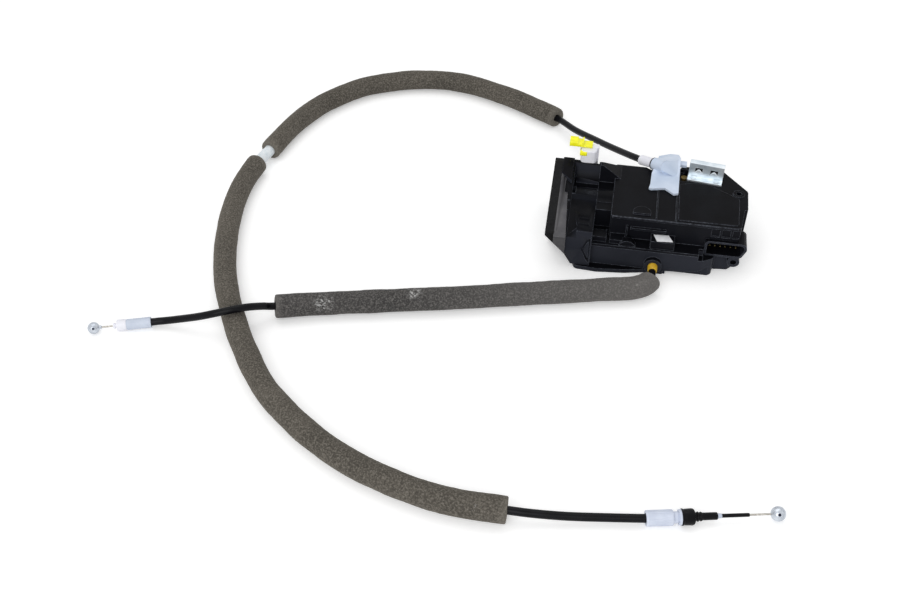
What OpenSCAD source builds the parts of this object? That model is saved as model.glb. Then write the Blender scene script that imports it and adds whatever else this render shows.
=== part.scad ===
// Front door lock of a car: latch, actuator case, two Bowden cables.
// It lies on its side. X runs from the latch face to the connector, Z is up,
// and the origin is under the middle of the lock at the height it stands on.

/* [Case] */
// Length of the actuator case along X
case_l = 103; // [98:1:108]
// Distance from the middle line to the front wall
front_y = 42; // [40:0.5:43]
// Distance from the middle line to the back wall
back_y = 31; // [30:0.5:33]
// Distance from the middle line to the raised part's front edge
ledge_y = 28; // [26:0.5:30]
// Height of the lower case half
base_h = 18; // [17:0.5:19]
// Height of the cover's top face
cover_z = 38; // [37:0.5:40]
// Wall thickness of the mouldings
wall = 2; // [1.6:0.1:2.4]
// How far the bottom rim stands out of the walls
rim = 2; // [1:0.25:2.5]
// Clearance between mouldings that meet
gap = 0.2; // [0.1:0.05:0.3]

/* [Latch] */
// Length of the latch case along X
latch_l = 24; // [23:0.5:27]
// Height of the tall part at the back of the latch
tower_z = 48; // [46:0.5:50]
// Height of the low roof of the latch
roof_z = 34; // [33:0.5:35]
// Thickness of the steel latch plate
plate_t = 2; // [1.5:0.1:2.5]
// Thickness of the rubber seal on the plate
seal_t = 6; // [4:0.5:7]
// Width of the seal ring
seal_w = 4.5; // [3:0.5:5.5]
// Half the width of the striker slot
slot_r = 6.5; // [6:0.25:7]
// Place of the striker slot along Y
slot_y = -4; // [-5:0.5:-3]
// Radius of the threads that take the mounting screws
screw_hole_r = 2.55; // [2:0.05:3]

/* [Fork and pawl] */
// Thickness of the fork and the pawl
fork_t = 4.5; // [3.5:0.25:4.75]
// Radius of the fork's pin
fork_pin_r = 4; // [3.5:0.1:4.5]
// Radius of the pawl's pin
pawl_pin_r = 3.5; // [3:0.1:4]
// Radial clearance of parts that turn on pins
run = 0.05; // [0.02:0.01:0.08]
// Reach of the fork's long leg
fork_r = 26; // [25.5:0.1:26.2]
// Reach of the fork's short leg
short_leg_r = 18; // [17.5:0.25:18.25]
// Radius of the fork's notch for the striker
notch_r = 5; // [4.6:0.1:5.2]
// Wire radius of the springs
spring_r = 0.7; // [0.5:0.05:0.8]

/* [Levers] */
// Thickness of the white outside lever
lever_t = 3; // [2.5:0.1:3.2]
// Thickness of the steel levers
arm_t = 1.8; // [1.5:0.1:2]
// Width of the white post along X
post_w = 11; // [10:0.25:12]
// Height of the white post's top
post_z = 58; // [56:0.5:60]
// Radius of the lever pins
pin_r = 2.5; // [2.2:0.1:2.8]

/* [Lock drive] */
// Tooth module of the worm drive
tooth_m = 1; // [0.9:0.02:1.05]
// Number of teeth on the wheel
wheel_n = 30; // [28:1:31]
// Pitch radius of the worm
worm_r = 4; // [3.8:0.1:4.2]
// Width of the wheel's toothed rim
wheel_w = 4; // [3:0.25:4.5]
// Radius of the motor can
motor_r = 9.5; // [8.5:0.25:9.75]
// Room between the motor can and the right end of the case
motor_room = 15; // [13:0.5:18]
// Height of the motor's shaft
shaft_z = 12; // [12:0.1:12.5]
// Radius of the motor's shaft
shaft_r = 1; // [0.8:0.1:1.2]

/* [Connector] */
// Width of the connector shroud
conn_w = 28; // [26:0.5:29]
// Height of the connector shroud
conn_h = 12.4; // [11.5:0.1:12.6]
// Depth of the connector shroud
conn_d = 15; // [13:0.5:16]
// Wall of the connector shroud
conn_wall = 1.4; // [1:0.1:1.6]

/* [Cables] */
// Radius of the black conduit
conduit_r = 2.5; // [2:0.1:2.7]
// Outer radius of the foam sleeves
foam_r = 8; // [7:0.25:8]
// Clearance between a foam sleeve and the conduit in it
foam_gap = 0.3; // [0.2:0.05:0.5]
// Radius of the balls on the wire ends
ball_r = 4.25; // [3.5:0.05:4.4]
// Radius of the bare wire
wire_r = 0.6; // [0.5:0.05:0.8]

/* [Hidden] */
$fn = 48;
eps = 0.01;
black = [0.07, 0.07, 0.08];
dark = [0.16, 0.16, 0.17];
steel = [0.62, 0.63, 0.65];
zinc = [0.78, 0.8, 0.8];
white = [0.93, 0.94, 0.95];
brass = [0.8, 0.66, 0.32];
foam_grey = [0.36, 0.34, 0.31];

// Planes along X, from the latch face to the right wall
joint_x = -36;
case_x0 = joint_x - latch_l;
plate_x0 = case_x0 - plate_t;
seal_x0 = plate_x0 - seal_t;
right_x = joint_x + case_l;
step_x = joint_x + 11;
cavity_d = 14;
cavity_x1 = case_x0 + cavity_d;
rear_x0 = cavity_x1 + wall;
rear_x1 = rear_x0 + wall;

// Heights and planes of the case
floor_t = 2;
rim_t = 3;
flange_z = base_h + wall;
under_z = rim_t + gap;
tower_y = 14;
tower_top_y = 18;

// Unit vector, angle of a vector, rounding of one corner and of a whole outline of [x, y, radius]
function unit(v) = v / norm(v);
function corner(a, b, c, r, n) =
    let (
        u = unit(a - b),
        w = unit(c - b),
        half = acos(max(-1, min(1, u * w))) / 2,
        centre = b + unit(u + w) * r / sin(half),
        start = b + u * r / tan(half) - centre,
        end = b + w * r / tan(half) - centre,
        a0 = atan2(start[1], start[0]),
        turn = (atan2(end[1], end[0]) - a0 + 540) % 360 - 180
    )
    [for (i = [0 : n]) centre + r * [cos(a0 + turn * i / n), sin(a0 + turn * i / n)]];
function xy(p) = [p[0], p[1]];
function rounded(pts, n = 4) =
    let (k = len(pts))
    [for (i = [0 : k - 1])
        each (pts[i][2] > 0
            ? corner(xy(pts[(i + k - 1) % k]), xy(pts[i]), xy(pts[(i + 1) % k]), pts[i][2], n)
            : [xy(pts[i])])];
function arc(c, r, a0, a1, n = 8) = [for (i = [0 : n]) let (a = a0 + (a1 - a0) * i / n) c + r * [cos(a), sin(a)]];
function turned(p, c, a) =
    [c[0] + (p[0] - c[0]) * cos(a) - (p[1] - c[1]) * sin(a), c[1] + (p[0] - c[0]) * sin(a) + (p[1] - c[1]) * cos(a)];

// A flat outline drawn in Y and Z, pushed along X
module along_x(x0, x1) {
    translate([x0, 0, 0])
        rotate([90, 0, 90])
            linear_extrude(x1 - x0)
                children();
}
module rod_x(x0, x1, y, z, r) {
    translate([x0, y, z])
        rotate([0, 90, 0])
            cylinder(r = r, h = x1 - x0);
}
module rod_y(y0, y1, x, z, r) {
    translate([x, y0, z])
        rotate([-90, 0, 0])
            cylinder(r = r, h = y1 - y0);
}
module rod_z(z0, z1, x, y, r) {
    translate([x, y, z0])
        cylinder(r = r, h = z1 - z0);
}
module box(x0, x1, y0, y1, z0, z1) {
    translate([x0, y0, z0])
        cube([x1 - x0, y1 - y0, z1 - z0]);
}

// A tube swept along points: rings square to the path, one per point
function tangent(path, i) =
    unit(path[min(i + 1, len(path) - 1)] - path[max(i - 1, 0)]);
function side_of(path, i, up) = unit(cross(tangent(path, i), up));
function ring(path, i, r, n, up) =
    let (s = side_of(path, i, up), u = cross(s, tangent(path, i)))
    [for (k = [0 : n - 1]) path[i] + r * (cos(360 * k / n) * s + sin(360 * k / n) * u)];
function wall_faces(first, rings, n, flip) =
    [for (i = [0 : rings - 2], k = [0 : n - 1])
        let (
            a = first + i * n + k,
            b = first + i * n + (k + 1) % n,
            quad = [a, b, b + n, a + n]
        )
        flip ? [quad[3], quad[2], quad[1], quad[0]] : quad];
module tube(path, r, n, up = [0, 0, 1]) {
    rings = len(path);
    polyhedron(
        points = [for (i = [0 : rings - 1]) each ring(path, i, r, n, up)],
        faces = concat(
            wall_faces(0, rings, n, false),
            [[for (k = [n - 1 : -1 : 0]) k]],
            [[for (k = [0 : n - 1]) (rings - 1) * n + k]]
        ),
        convexity = 10
    );
}
module sleeve(path, from, to, r, bore, n) {
    rings = to - from + 1;
    inner = rings * n;
    last = (rings - 1) * n;
    polyhedron(
        points = concat(
            [for (i = [from : to]) each ring(path, i, r, n, [0, 0, 1])],
            [for (i = [from : to]) each ring(path, i, bore, n, [0, 0, 1])]
        ),
        faces = concat(
            wall_faces(0, rings, n, false),
            wall_faces(inner, rings, n, true),
            [for (k = [0 : n - 1]) [(k + 1) % n, k, inner + k, inner + (k + 1) % n]],
            [for (k = [0 : n - 1]) [last + k, last + (k + 1) % n, inner + last + (k + 1) % n, inner + last + k]]
        ),
        convexity = 10
    );
}
// A straight round piece on a line in space, between two distances from its start
module on_line(start, dir, d0, d1, r) {
    flat = norm([dir[0], dir[1]]);
    translate(start + dir * d0)
        rotate([0, atan2(flat, dir[2]), atan2(dir[1], dir[0])])
            cylinder(r = r, h = d1 - d0);
}

// Outlines of the case, seen from above
wall_y = -front_y + 4;
rim_outline = rounded([
    [joint_x - 13, -front_y + 7, 3], [joint_x - 10, -front_y - rim + 1, 3], [joint_x + 5, -front_y - rim, 2],
    [joint_x + 24, -front_y, 2], [joint_x + 38, wall_y - 1, 2], [joint_x + 50, wall_y - 0.8, 1],
    [joint_x + 52, wall_y + 3, 1], [joint_x + 72, wall_y + 3.5, 8], [joint_x + 83, wall_y + 10, 5],
    [joint_x + 85, wall_y + 13, 1.5], [right_x - 9, wall_y + 15, 2], [right_x - 4, wall_y + 20, 3],
    [right_x - 1, wall_y + 24, 2], [right_x - 1, 13, 4], [right_x - 19, back_y + 3, 4],
    [joint_x + 57, back_y + 3, 2], [joint_x + 53, back_y, 2], [joint_x - 13, back_y, 2]
]);
wall_outline = rounded([
    [joint_x, wall_y, 0], [joint_x + 75, wall_y, 7], [joint_x + 83, wall_y + 5, 4],
    [joint_x + 84, wall_y + 11, 1], [right_x - 9, wall_y + 12, 2], [right_x - 4.5, wall_y + 17, 3],
    [right_x - 3, wall_y + 22, 2], [right_x - 3, 12, 4], [right_x - 20, back_y + 1, 4],
    [joint_x + 58, back_y + 1, 2], [joint_x + 54, back_y - 2, 2], [joint_x, back_y - 2, 0]
]);
cover_outline = rounded([
    [step_x, -ledge_y, 1], [right_x - 5, -ledge_y, 2.5], [right_x - 2.6, -7, 0.6], [right_x - 0.4, -6.4, 0.6],
    [right_x, 14, 4], [right_x - 18, back_y + 5.5, 3], [joint_x + 58, back_y + 5.5, 2],
    [joint_x + 54, back_y, 2], [step_x, back_y, 1]
]);
hollow_outline = rounded([
    [joint_x + wall, wall_y + 2.2, 0], [joint_x + 66, wall_y + 2.2, 2], [joint_x + 70, wall_y + 6.5, 2],
    [joint_x + 79, wall_y + 8, 3], [joint_x + 83, wall_y + 13.5, 2], [right_x - 10, wall_y + 14.5, 2],
    [right_x - 6.5, wall_y + 19, 2], [right_x - 5.2, wall_y + 24, 1], [right_x - 5.2, 11, 2.5],
    [right_x - 21, back_y - 1.2, 2.5], [joint_x + wall, back_y - 4.2, 0]
]);
cover_hollow = rounded([
    [joint_x + wall, -ledge_y + wall, 0], [right_x - 7, -ledge_y + wall, 1.5], [right_x - 5, -6, 1],
    [right_x - 3, 13, 2.5], [right_x - 20, back_y + 3, 2], [joint_x + 60, back_y + 3, 1],
    [joint_x + 56, back_y - wall, 1], [joint_x + wall, back_y - wall, 0]
]);

// Profiles of the latch, seen from its face, in Y and Z
slope = (tower_z - 29) / (tower_y + front_y - 1);
flange_t = 1.4;
function slope_z(y) = tower_z - 1 - slope * (tower_y - y);
plate_profile = rounded([
    [-front_y + 1, 20, 2], [-front_y + 1, slope_z(-front_y + 1), 2], [tower_y, tower_z, 4],
    [tower_top_y, tower_z, 3], [back_y - 1, 36, 3], [back_y - 1, 8, 4], [back_y - 7, under_z, 3],
    [-11, under_z, 2], [-29, 5.5, 3], [-front_y + 5.5, 10, 2]
]);
latch_profile = rounded([
    [-front_y, under_z, 1], [-front_y, roof_z, 2], [tower_y, roof_z, 0], [tower_y, tower_z, 1.5],
    [tower_top_y, tower_z, 2], [back_y, 36, 3], [back_y, under_z, 2]
]);
wedge_profile = rounded([
    [-front_y, under_z, 1], [-front_y, slope_z(-front_y) - flange_t, 1.5],
    [tower_y, slope_z(tower_y) - flange_t, 0],
    [tower_top_y - 1, tower_z - 2, 2], [back_y, 35, 3], [back_y, under_z, 2]
]);
// Space round the fork and the pawl, and the lower space behind them for the springs
fork_space = rounded([
    [-front_y + 7, 6.4, 2], [-front_y + 7, 22, 2], [-27.5, 33.2, 1], [-15.5, 33.4, 0.5], [-14.3, 36, 0.5],
    [5, 36, 1], [9, 33.2, 1], [22.5, 33.2, 2], [22.5, under_z + wall, 2], [-22, under_z + wall, 2]
]);
spring_space = rounded([
    [-front_y + 7, 7, 2], [-front_y + 7, 22, 2], [-26, 31, 2], [22.5, 31, 2], [22.5, under_z + wall, 2],
    [-22, under_z + wall, 2]
]);
lever_space = rounded([
    [-front_y + 3.5, 6, 2], [-front_y + 3.5, roof_z - wall, 2], [tower_y, roof_z - wall, 1],
    [tower_y + 2, tower_z - wall - 0.5, 1], [tower_top_y, tower_z - wall - 0.5, 1],
    [back_y - 2.5, 34.5, 2], [back_y - 2.5, 6, 2]
]);

// Pivots in the latch, in Y and Z
fork_c = [11, 21.5];
pawl_c = [-20, 11.5];
lever_c = [-12, 26.5];
fork_x0 = case_x0 + 0.4;
fork_x1 = fork_x0 + fork_t;
fork_x2 = case_x0 + 5.3;
fork_open = 53;
pawl_cam = 14;
tail_r = 1.8;
tail_c = turned(pawl_c + [-11.2, 3.8], pawl_c, pawl_cam);
striker_z = 26;
screw_holes = [[25.2, 18.5], [-33, 23.5], [18, 40.5]];
collar_r = screw_hole_r + 1.7;

// Routes of the two cables, A from the front wall and B from the fitting on the cover
route_a = [
    [7, -46.5, 8], [7, -51, 8], [6, -56, 8], [3, -60.5, 8], [-1, -63.5, 8], [-7, -66, 8],
    [-27, -71, 8], [-60, -79.5, 8], [-92, -88, 8], [-124, -96.5, 8], [-156, -104, 8], [-188, -112, 8],
    [-210, -117.5, 8], [-235, -125, 9], [-242, -130, 12.5], [-249, -137, 17], [-257, -143.5, 19.5],
    [-267, -147, 18], [-279, -147.5, 13.5], [-293, -146.5, 8], [-302, -146.5, 5.2], [-308, -147.5, 4.4], [-312, -148.7, 4.2]
];
foam_a_from = 2;
foam_a_to = 13;
route_b = [
    [-8, 41, 37], [-16, 50, 33.5], [-30, 68.5, 26], [-45, 88.5, 18.5], [-60, 107.5, 12], [-76, 127, 8.3],
    [-96, 139.5, 8], [-117, 151, 8], [-148, 163, 8], [-172, 167, 8], [-196, 164.5, 8], [-216, 158, 8],
    [-236, 147.5, 8], [-254, 131, 8], [-268, 112, 8], [-277, 93, 8], [-283.5, 73, 8],
    [-290, 45, 8], [-293, 34, 8], [-294.5, 27, 8], [-297, 4, 8], [-296.5, -20, 8], [-292, -50, 8],
    [-284.5, -80, 8], [-274, -109, 8], [-259, -139, 8], [-240, -170, 8], [-219, -197, 8], [-190, -222, 8],
    [-158, -241, 8], [-126, -253, 8], [-96, -259, 8], [-63, -259.5, 8], [-48, -258.5, 7], [-30, -256, 5.5],
    [-8, -252.5, 4.8], [12, -249.5, 4.8]
];
b_start = [2.4, 31, 41.5];
b_dir = unit(route_b[0] - b_start);
foam_b_upper_from = 5;
foam_b_upper_to = 17;
foam_b_lower_from = 19;
foam_b_lower_to = 32;
foam_bore = conduit_r + foam_gap;

module striker_slot(x0, x1, r) {
    along_x(x0, x1)
        polygon(concat(
            [[slot_y + r, -1], [slot_y + r, striker_z]],
            arc([slot_y, striker_z], r, 0, 180, 16),
            [[slot_y - r, striker_z], [slot_y - r, -1]]
        ));
}
// The ground that the plate's folded flange covers, seen from above
module flange_ground(g, z0, z1) {
    translate([0, 0, z0])
        linear_extrude(z1 - z0)
            polygon([
                [plate_x0 - 0.1, 3 + g], [case_x0 + 5 + g, 3 + g], [case_x0 + 6 + g, -1], [case_x0 + 9 + g, -17],
                [case_x0 + 13 + g, -front_y + 8], [case_x0 + 13 + g, -front_y - 3], [plate_x0 - 0.1, -front_y - 3]
            ]);
}
module pawl_window(x0, x1) {
    box(x0, x1, tail_c[0] - tail_r - 0.6, tail_c[0] + tail_r + 0.6, tail_c[1] - tail_r - 3.2, tail_c[1] + tail_r + 0.6);
}

// Latch block: moulded case for the fork, the pawl and the levers
module latch_case() {
    color(black)
        difference() {
            union() {
                along_x(case_x0, fork_x2 + 1.4)
                    polygon(wedge_profile);
                difference() {
                    along_x(case_x0 + 2, joint_x)
                        polygon([
                            [-front_y, under_z], [-front_y, roof_z - 1.5], [-front_y + 1.5, roof_z],
                            [tower_y + 4, roof_z], [back_y, roof_z], [back_y, under_z]
                        ]);
                    // Room for the steel flange on the slope
                    intersection() {
                        flange_ground(gap, 10, tower_z);
                        along_x(case_x0, case_x0 + 14)
                            polygon([
                                [3 + gap, slope_z(3) - flange_t], [3 + gap, tower_z], [-front_y - 1, tower_z],
                                [-front_y - 1, slope_z(-front_y - 1) - flange_t]
                            ]);
                    }
                }
                intersection() {
                    translate([0, 0, roof_z - 4])
                        linear_extrude(tower_z - roof_z + 4)
                            polygon(rounded([
                                [case_x0 + 2.5, tower_y, 7], [joint_x, tower_y, 0],
                                [joint_x, back_y, 0], [case_x0 + 2.5, back_y, 2]
                            ], 8));
                    along_x(case_x0, joint_x)
                        polygon(latch_profile);
                }
                rod_x(fork_x2 + 1, joint_x, -2.5, roof_z - 4, 8);
                // Narrow steps at the foot of the tall part and along the front
                box(case_x0 + 8, joint_x, tower_y - 4, tower_y + 1, roof_z - 1, roof_z + 2);
                box(case_x0 + 14, joint_x - 3, -31, -29.5, roof_z - 1, roof_z + 1.2);
                box(case_x0 + 14, joint_x - 3, -37, -35.8, roof_z - 1, roof_z + 0.8);
            }
            along_x(case_x0 - 1, fork_x2)
                polygon(fork_space);
            along_x(fork_x2 - eps, cavity_x1)
                polygon(spring_space);
            along_x(rear_x0, joint_x + 1)
                polygon(lever_space);
            striker_slot(case_x0 - 1, cavity_x1, slot_r + 1);
            // Round mouth at the end of the bulge
            rod_x(case_x0 - 1, case_x0 + 9, -2.5, roof_z + 1, 4.4);
            // Cut-back lower front corner
            translate([0, -front_y - 5, 0])
                rotate([-90, 0, 0])
                    linear_extrude(10)
                        polygon([
                            [case_x0 - 5, 0], [joint_x - 12.5, 0], [joint_x - 14, -4], [case_x0 + 4, -13],
                            [case_x0 - 5, -21]
                        ]);
            // Mouth of the outside lever in the sloping back
            box(rear_x1 - 0.5, joint_x - 1, tower_y + 1.5, back_y - 3.5, roof_z + 2, tower_z + 1);
            pawl_window(cavity_x1 - 1, rear_x0 + 1);
            rod_x(cavity_x1 - 1, rear_x0 + 1, fork_c[0], fork_c[1], fork_pin_r + run);
            rod_x(cavity_x1 - 1, rear_x0 + 1, pawl_c[0], pawl_c[1], pawl_pin_r + run);
            // Eight-sided pockets that clear the screw collars of the plate
            for (h = screw_holes)
                along_x(case_x0 - 1, case_x0 + 6.2)
                    polygon([for (i = [0 : 7])
                        h + (collar_r + gap) / cos(22.5) * [cos(i * 45 + 22.5), sin(i * 45 + 22.5)]]);
            // Angled slots and the narrow groove beside the parting line in the front wall
            for (s = [-1, 1])
                translate([joint_x - 6, -front_y - 1, 17])
                    rotate([0, s * 25, 0])
                        translate([-0.8, 0, s > 0 ? 0 : -9])
                            cube([1.6, 2.2, 9]);
            box(joint_x - 1.6, joint_x - 0.8, -front_y - 1, -front_y + 1.5, 6, 27);
        }
}

// Steel face plate with the folded flange along its sloping edge and front
module latch_plate() {
    color(steel)
        difference() {
            union() {
                along_x(plate_x0, case_x0)
                    polygon(plate_profile);
                // The flange widens towards the front
                intersection() {
                    along_x(plate_x0, case_x0 + 14)
                        polygon([
                            [3, slope_z(3) - flange_t], [3, slope_z(3)], [-front_y, slope_z(-front_y)],
                            [-front_y - flange_t, slope_z(-front_y) - 1], [-front_y - flange_t, 9],
                            [-front_y, 9], [-front_y, slope_z(-front_y) - flange_t]
                        ]);
                    flange_ground(0, 0, tower_z);
                    translate([0, 5, 0])
                        rotate([90, 0, 0])
                            linear_extrude(front_y + 10)
                                polygon([
                                    [plate_x0, 20], [case_x0 + 5, 13.5], [case_x0 + 14, 9], [case_x0 + 14, 60],
                                    [plate_x0, 60]
                                ]);
                }
                for (h = screw_holes)
                    rod_x(plate_x0, case_x0 + 4.5, h[0], h[1], collar_r);
            }
            striker_slot(plate_x0 - 1, case_x0 + 1, slot_r);
            // Notch round the bulge's mouth
            rod_x(case_x0 + 1.5, case_x0 + 20, -2.5, roof_z + 4, 6.5);
            for (h = screw_holes)
                rod_x(plate_x0 - 1, case_x0 + 6, h[0], h[1], screw_hole_r);
            rod_x(plate_x0 - 1, case_x0 + 1, fork_c[0], fork_c[1], fork_pin_r + run);
            rod_x(plate_x0 - 1, case_x0 + 1, pawl_c[0], pawl_c[1], pawl_pin_r + run);
        }
}

// Rubber seal round the edge of the face plate, open where the striker comes in
module face_seal() {
    color(dark)
        difference() {
            along_x(seal_x0, plate_x0)
                difference() {
                    polygon(plate_profile);
                    offset(delta = -seal_w)
                        polygon(plate_profile);
                }
            box(seal_x0 - 1, plate_x0 + 1, slot_y - slot_r - 1.5, slot_y + slot_r + 1.5, -1, 20);
            for (h = screw_holes)
                rod_x(seal_x0 - 1, plate_x0 + 1, h[0], h[1], screw_hole_r + 2.5);
            rod_x(seal_x0 - 1, plate_x0 + 1, pawl_c[0], pawl_c[1], pawl_pin_r + 2.3);
            rod_x(seal_x0 - 1, plate_x0 + 1, fork_c[0], fork_c[1], fork_pin_r + 2.5);
        }
}

// Steel plate behind the moulded wall, which carries the far ends of the pins
module rear_plate() {
    color(zinc)
        difference() {
            along_x(rear_x0, rear_x1)
                polygon(rounded([
                    [-front_y + 5, 6.6, 3], [-front_y + 5, roof_z - 4.5, 3], [tower_y - 2, roof_z - 2.5, 3],
                    [back_y - 5, roof_z - 2.5, 3], [back_y - 5, 8, 3]
                ]));
            rod_x(rear_x0 - 1, rear_x1 + 1, fork_c[0], fork_c[1], fork_pin_r + run);
            rod_x(rear_x0 - 1, rear_x1 + 1, pawl_c[0], pawl_c[1], pawl_pin_r + run);
            rod_x(rear_x0 - 1, rear_x1 + 1, lever_c[0], lever_c[1], pin_r + run);
            pawl_window(rear_x0 - 1, rear_x1 + 1);
        }
}

// Rubber pad at the closed end of the striker slot, behind the fork
module bump_stop() {
    color(dark)
        along_x(fork_x2 + 0.4, cavity_x1)
            polygon(concat(
                arc([slot_y, striker_z], slot_r + 1, 45, 135, 8),
                arc([slot_y, striker_z], slot_r - 1.2, 135, 45, 8)
            ));
}

// Fork: drawn closed round the striker, then turned open
fork_dir = 165;
fork_notch = short_leg_r - 2.5;
function from_fork(along, up) =
    along * [cos(fork_dir), sin(fork_dir)] + up * [sin(fork_dir), -cos(fork_dir)];
module fork_outline() {
    polygon([for (p = concat(
        arc([0, 0], 10, -130, 70, 16),
        [from_fork(16, 9.7)],
        arc([0, 0], fork_r, 150, 157, 2),
        [from_fork(19, notch_r)],
        [for (a = [90 : 15 : 270]) from_fork(fork_notch + notch_r * cos(a), notch_r * sin(a))],
        arc([0, 0], short_leg_r, 182, 190, 2),
        [[-13.2, -6.2]]
    )) fork_c + p]);
}
module fork() {
    color(steel)
        difference() {
            translate([0, fork_c[0], fork_c[1]])
                rotate([fork_open, 0, 0])
                    translate([0, -fork_c[0], -fork_c[1]])
                        along_x(fork_x0, fork_x1)
                            fork_outline();
            rod_x(fork_x0 - 1, fork_x1 + 1, fork_c[0], fork_c[1], fork_pin_r + run);
        }
}
module fork_pin() {
    color(zinc) {
        rod_x(plate_x0 - 1, rear_x1, fork_c[0], fork_c[1], fork_pin_r);
        rod_x(plate_x0 - 1.6, plate_x0, fork_c[0], fork_c[1], fork_pin_r + 2);
    }
}

// Torsion springs: a coil round the pin, with a leg at each end
function coil(c, r, a0, a1, leg) =
    let (n = 42, x0 = fork_x2 + 0.9, pitch = 2)
    concat(
        [[x0, c[0] + (r + leg) * cos(a0), c[1] + (r + leg) * sin(a0)]],
        [for (i = [0 : n])
            let (a = a0 + 90 + (a1 - a0 + 900) * i / n)
            [x0 + pitch * 3 * i / n, c[0] + r * cos(a), c[1] + r * sin(a)]],
        [[x0 + pitch * 3, c[0] + (r + leg) * cos(a1 + 180), c[1] + (r + leg) * sin(a1 + 180)]]
    );
module fork_spring() {
    color(zinc)
        tube(coil(fork_c, fork_pin_r + 2, 20, 70, 4), spring_r, 6, [1, 0, 0]);
}
module pawl_spring() {
    color(zinc)
        tube(coil(pawl_c, pawl_pin_r + 1.6, 60, -60, 4), spring_r, 6, [1, 0, 0]);
}

// Pawl: drawn engaged under the fork's long leg, then turned out to where it rides
module pawl() {
    color(steel)
        difference() {
            translate([0, pawl_c[0], pawl_c[1]])
                rotate([pawl_cam, 0, 0])
                    translate([0, -pawl_c[0], -pawl_c[1]])
                        union() {
                            along_x(fork_x0, fork_x1)
                                polygon([for (p = concat(
                                    arc([0, 0], 5.5, -110, 30, 8),
                                    [[5, 8], [7.4, 13], [8.5, 17], [8.2, 19.4], [5.4, 19.7], [3.2, 16.5], [-1, 7]],
                                    arc([-11.2, 3.8], 2.6, 100, 250, 6)
                                )) pawl_c + p]);
                            rod_x(fork_x0, joint_x - 0.7, pawl_c[0] - 11.2, pawl_c[1] + 3.8, tail_r);
                        }
            rod_x(fork_x0 - 1, fork_x1 + 1, pawl_c[0], pawl_c[1], pawl_pin_r + run);
        }
}
module pawl_pin() {
    color(zinc) {
        rod_x(plate_x0 - 1, rear_x1, pawl_c[0], pawl_c[1], pawl_pin_r);
        rod_x(plate_x0 - 1.6, plate_x0, pawl_c[0], pawl_c[1], pawl_pin_r + 1.8);
    }
}

// Outside lever: white moulding with an arm inside and a wide post outside
lever_x0 = rear_x1 + 0.6;
lever_x1 = lever_x0 + lever_t;
post_x1 = lever_x1;
post_x0 = post_x1 - post_w;
post_y0 = 20;
post_y1 = 24.5;
module outside_lever() {
    color(white)
        difference() {
            union() {
                along_x(lever_x0, lever_x1)
                    polygon(concat(
                        arc(lever_c, 4.9, 90, 270, 10),
                        [[post_y0, 18.5], [post_y1, 24], [post_y1, 52], [post_y0, 52], [post_y0, 31], [post_y0 - 4, 26]]
                    ));
                translate([0, 0, tower_z + 0.6])
                    linear_extrude(post_z - tower_z - 0.6)
                        polygon(rounded([
                            [post_x0, post_y0, 1.5], [post_x1, post_y0, 1], [post_x1, post_y1, 1], [post_x0, post_y1, 1.5]
                        ]));
            }
            rod_x(lever_x0 - 1, lever_x1 + 1, lever_c[0], lever_c[1], pin_r + run);
            rod_x(post_x0 - 1, post_x1 + 1, clip_y, clip_z, 1.5 + run);
        }
}

// Yellow snap clip on the post, which grips the handle's rod
clip_y = (post_y0 + post_y1) / 2;
clip_z = 53.5;
module rod_clip() {
    color([0.95, 0.9, 0.08])
        difference() {
            union() {
                rod_x(post_x0 - 4, post_x1 + 1, clip_y, clip_z, 1.5);
                rod_x(post_x0 - 7, post_x0, clip_y, clip_z, 4.2);
                along_x(post_x0 - 8, post_x1 - 3)
                    polygon(rounded([
                        [clip_y - 3.4, post_z, 0.8], [clip_y - 4, post_z + 3, 0.8], [clip_y - 3.2, post_z + 7, 1],
                        [clip_y + 3.2, post_z + 7, 1], [clip_y + 4, post_z + 3, 0.8], [clip_y + 3.4, post_z, 0.8]
                    ]));
                box(post_x0 - 7, post_x0 - 3, clip_y - 2, clip_y + 2, clip_z, post_z + 1);
            }
            // Groove for the rod, open between the two prongs
            rod_x(post_x0 - 9, post_x1, clip_y, post_z + 5, 2);
            box(post_x0 - 9, post_x1, clip_y - 1.5, clip_y + 1.5, post_z + 5, post_z + 9);
            box(post_x0 - 2.2, post_x0 + 0.8, clip_y - 5, clip_y + 5, post_z + 2.4, post_z + 9);
        }
}

// Steel arm beside the white lever: one end presses the pawl's tail, the finger meets the inside lever
arm_x0 = lever_x1 + 0.15;
arm_x1 = min(arm_x0 + arm_t, joint_x - 0.4);
tab_z = tail_c[1] + tail_r + 2;
module release_arm() {
    color(zinc)
        difference() {
            along_x(arm_x0, arm_x1)
                polygon(concat(
                    arc(lever_c, 4.9, -20, 100, 8),
                    [[tail_c[0] - 3.4, tab_z + 4], [tail_c[0] - 3.2, tab_z], [tail_c[0] + 3.2, tab_z]],
                    [lever_c + [-6, -6], lever_c + [1, -7], [-2.8, 6.8], [0.6, 6.8]]
                ));
            rod_x(arm_x0 - 1, arm_x1 + 1, lever_c[0], lever_c[1], pin_r + run);
        }
}
module lever_pin() {
    color(zinc)
        rod_x(rear_x0, joint_x + wall - 0.3, lever_c[0], lever_c[1], pin_r);
}

// Lock drive: worm on the motor's shaft, wheel with the lock lever on a pin
wheel_x = 10;
wheel_y = 12;
pitch_r = tooth_m * wheel_n / 2;
worm_y = wheel_y - pitch_r - worm_r;
worm_x0 = wheel_x - 7;
worm_x1 = wheel_x + 7;
wheel_pin_r = 2;
lock_tip = [23, 28];
shaft_x0 = worm_x0 - 5;
motor_x0 = worm_x1 + 7;
motor_x1 = right_x - motor_room;
lead = PI * tooth_m;
worm_tip = worm_r + 0.8 * tooth_m;
worm_root = worm_r - 1.1 * tooth_m;

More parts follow.
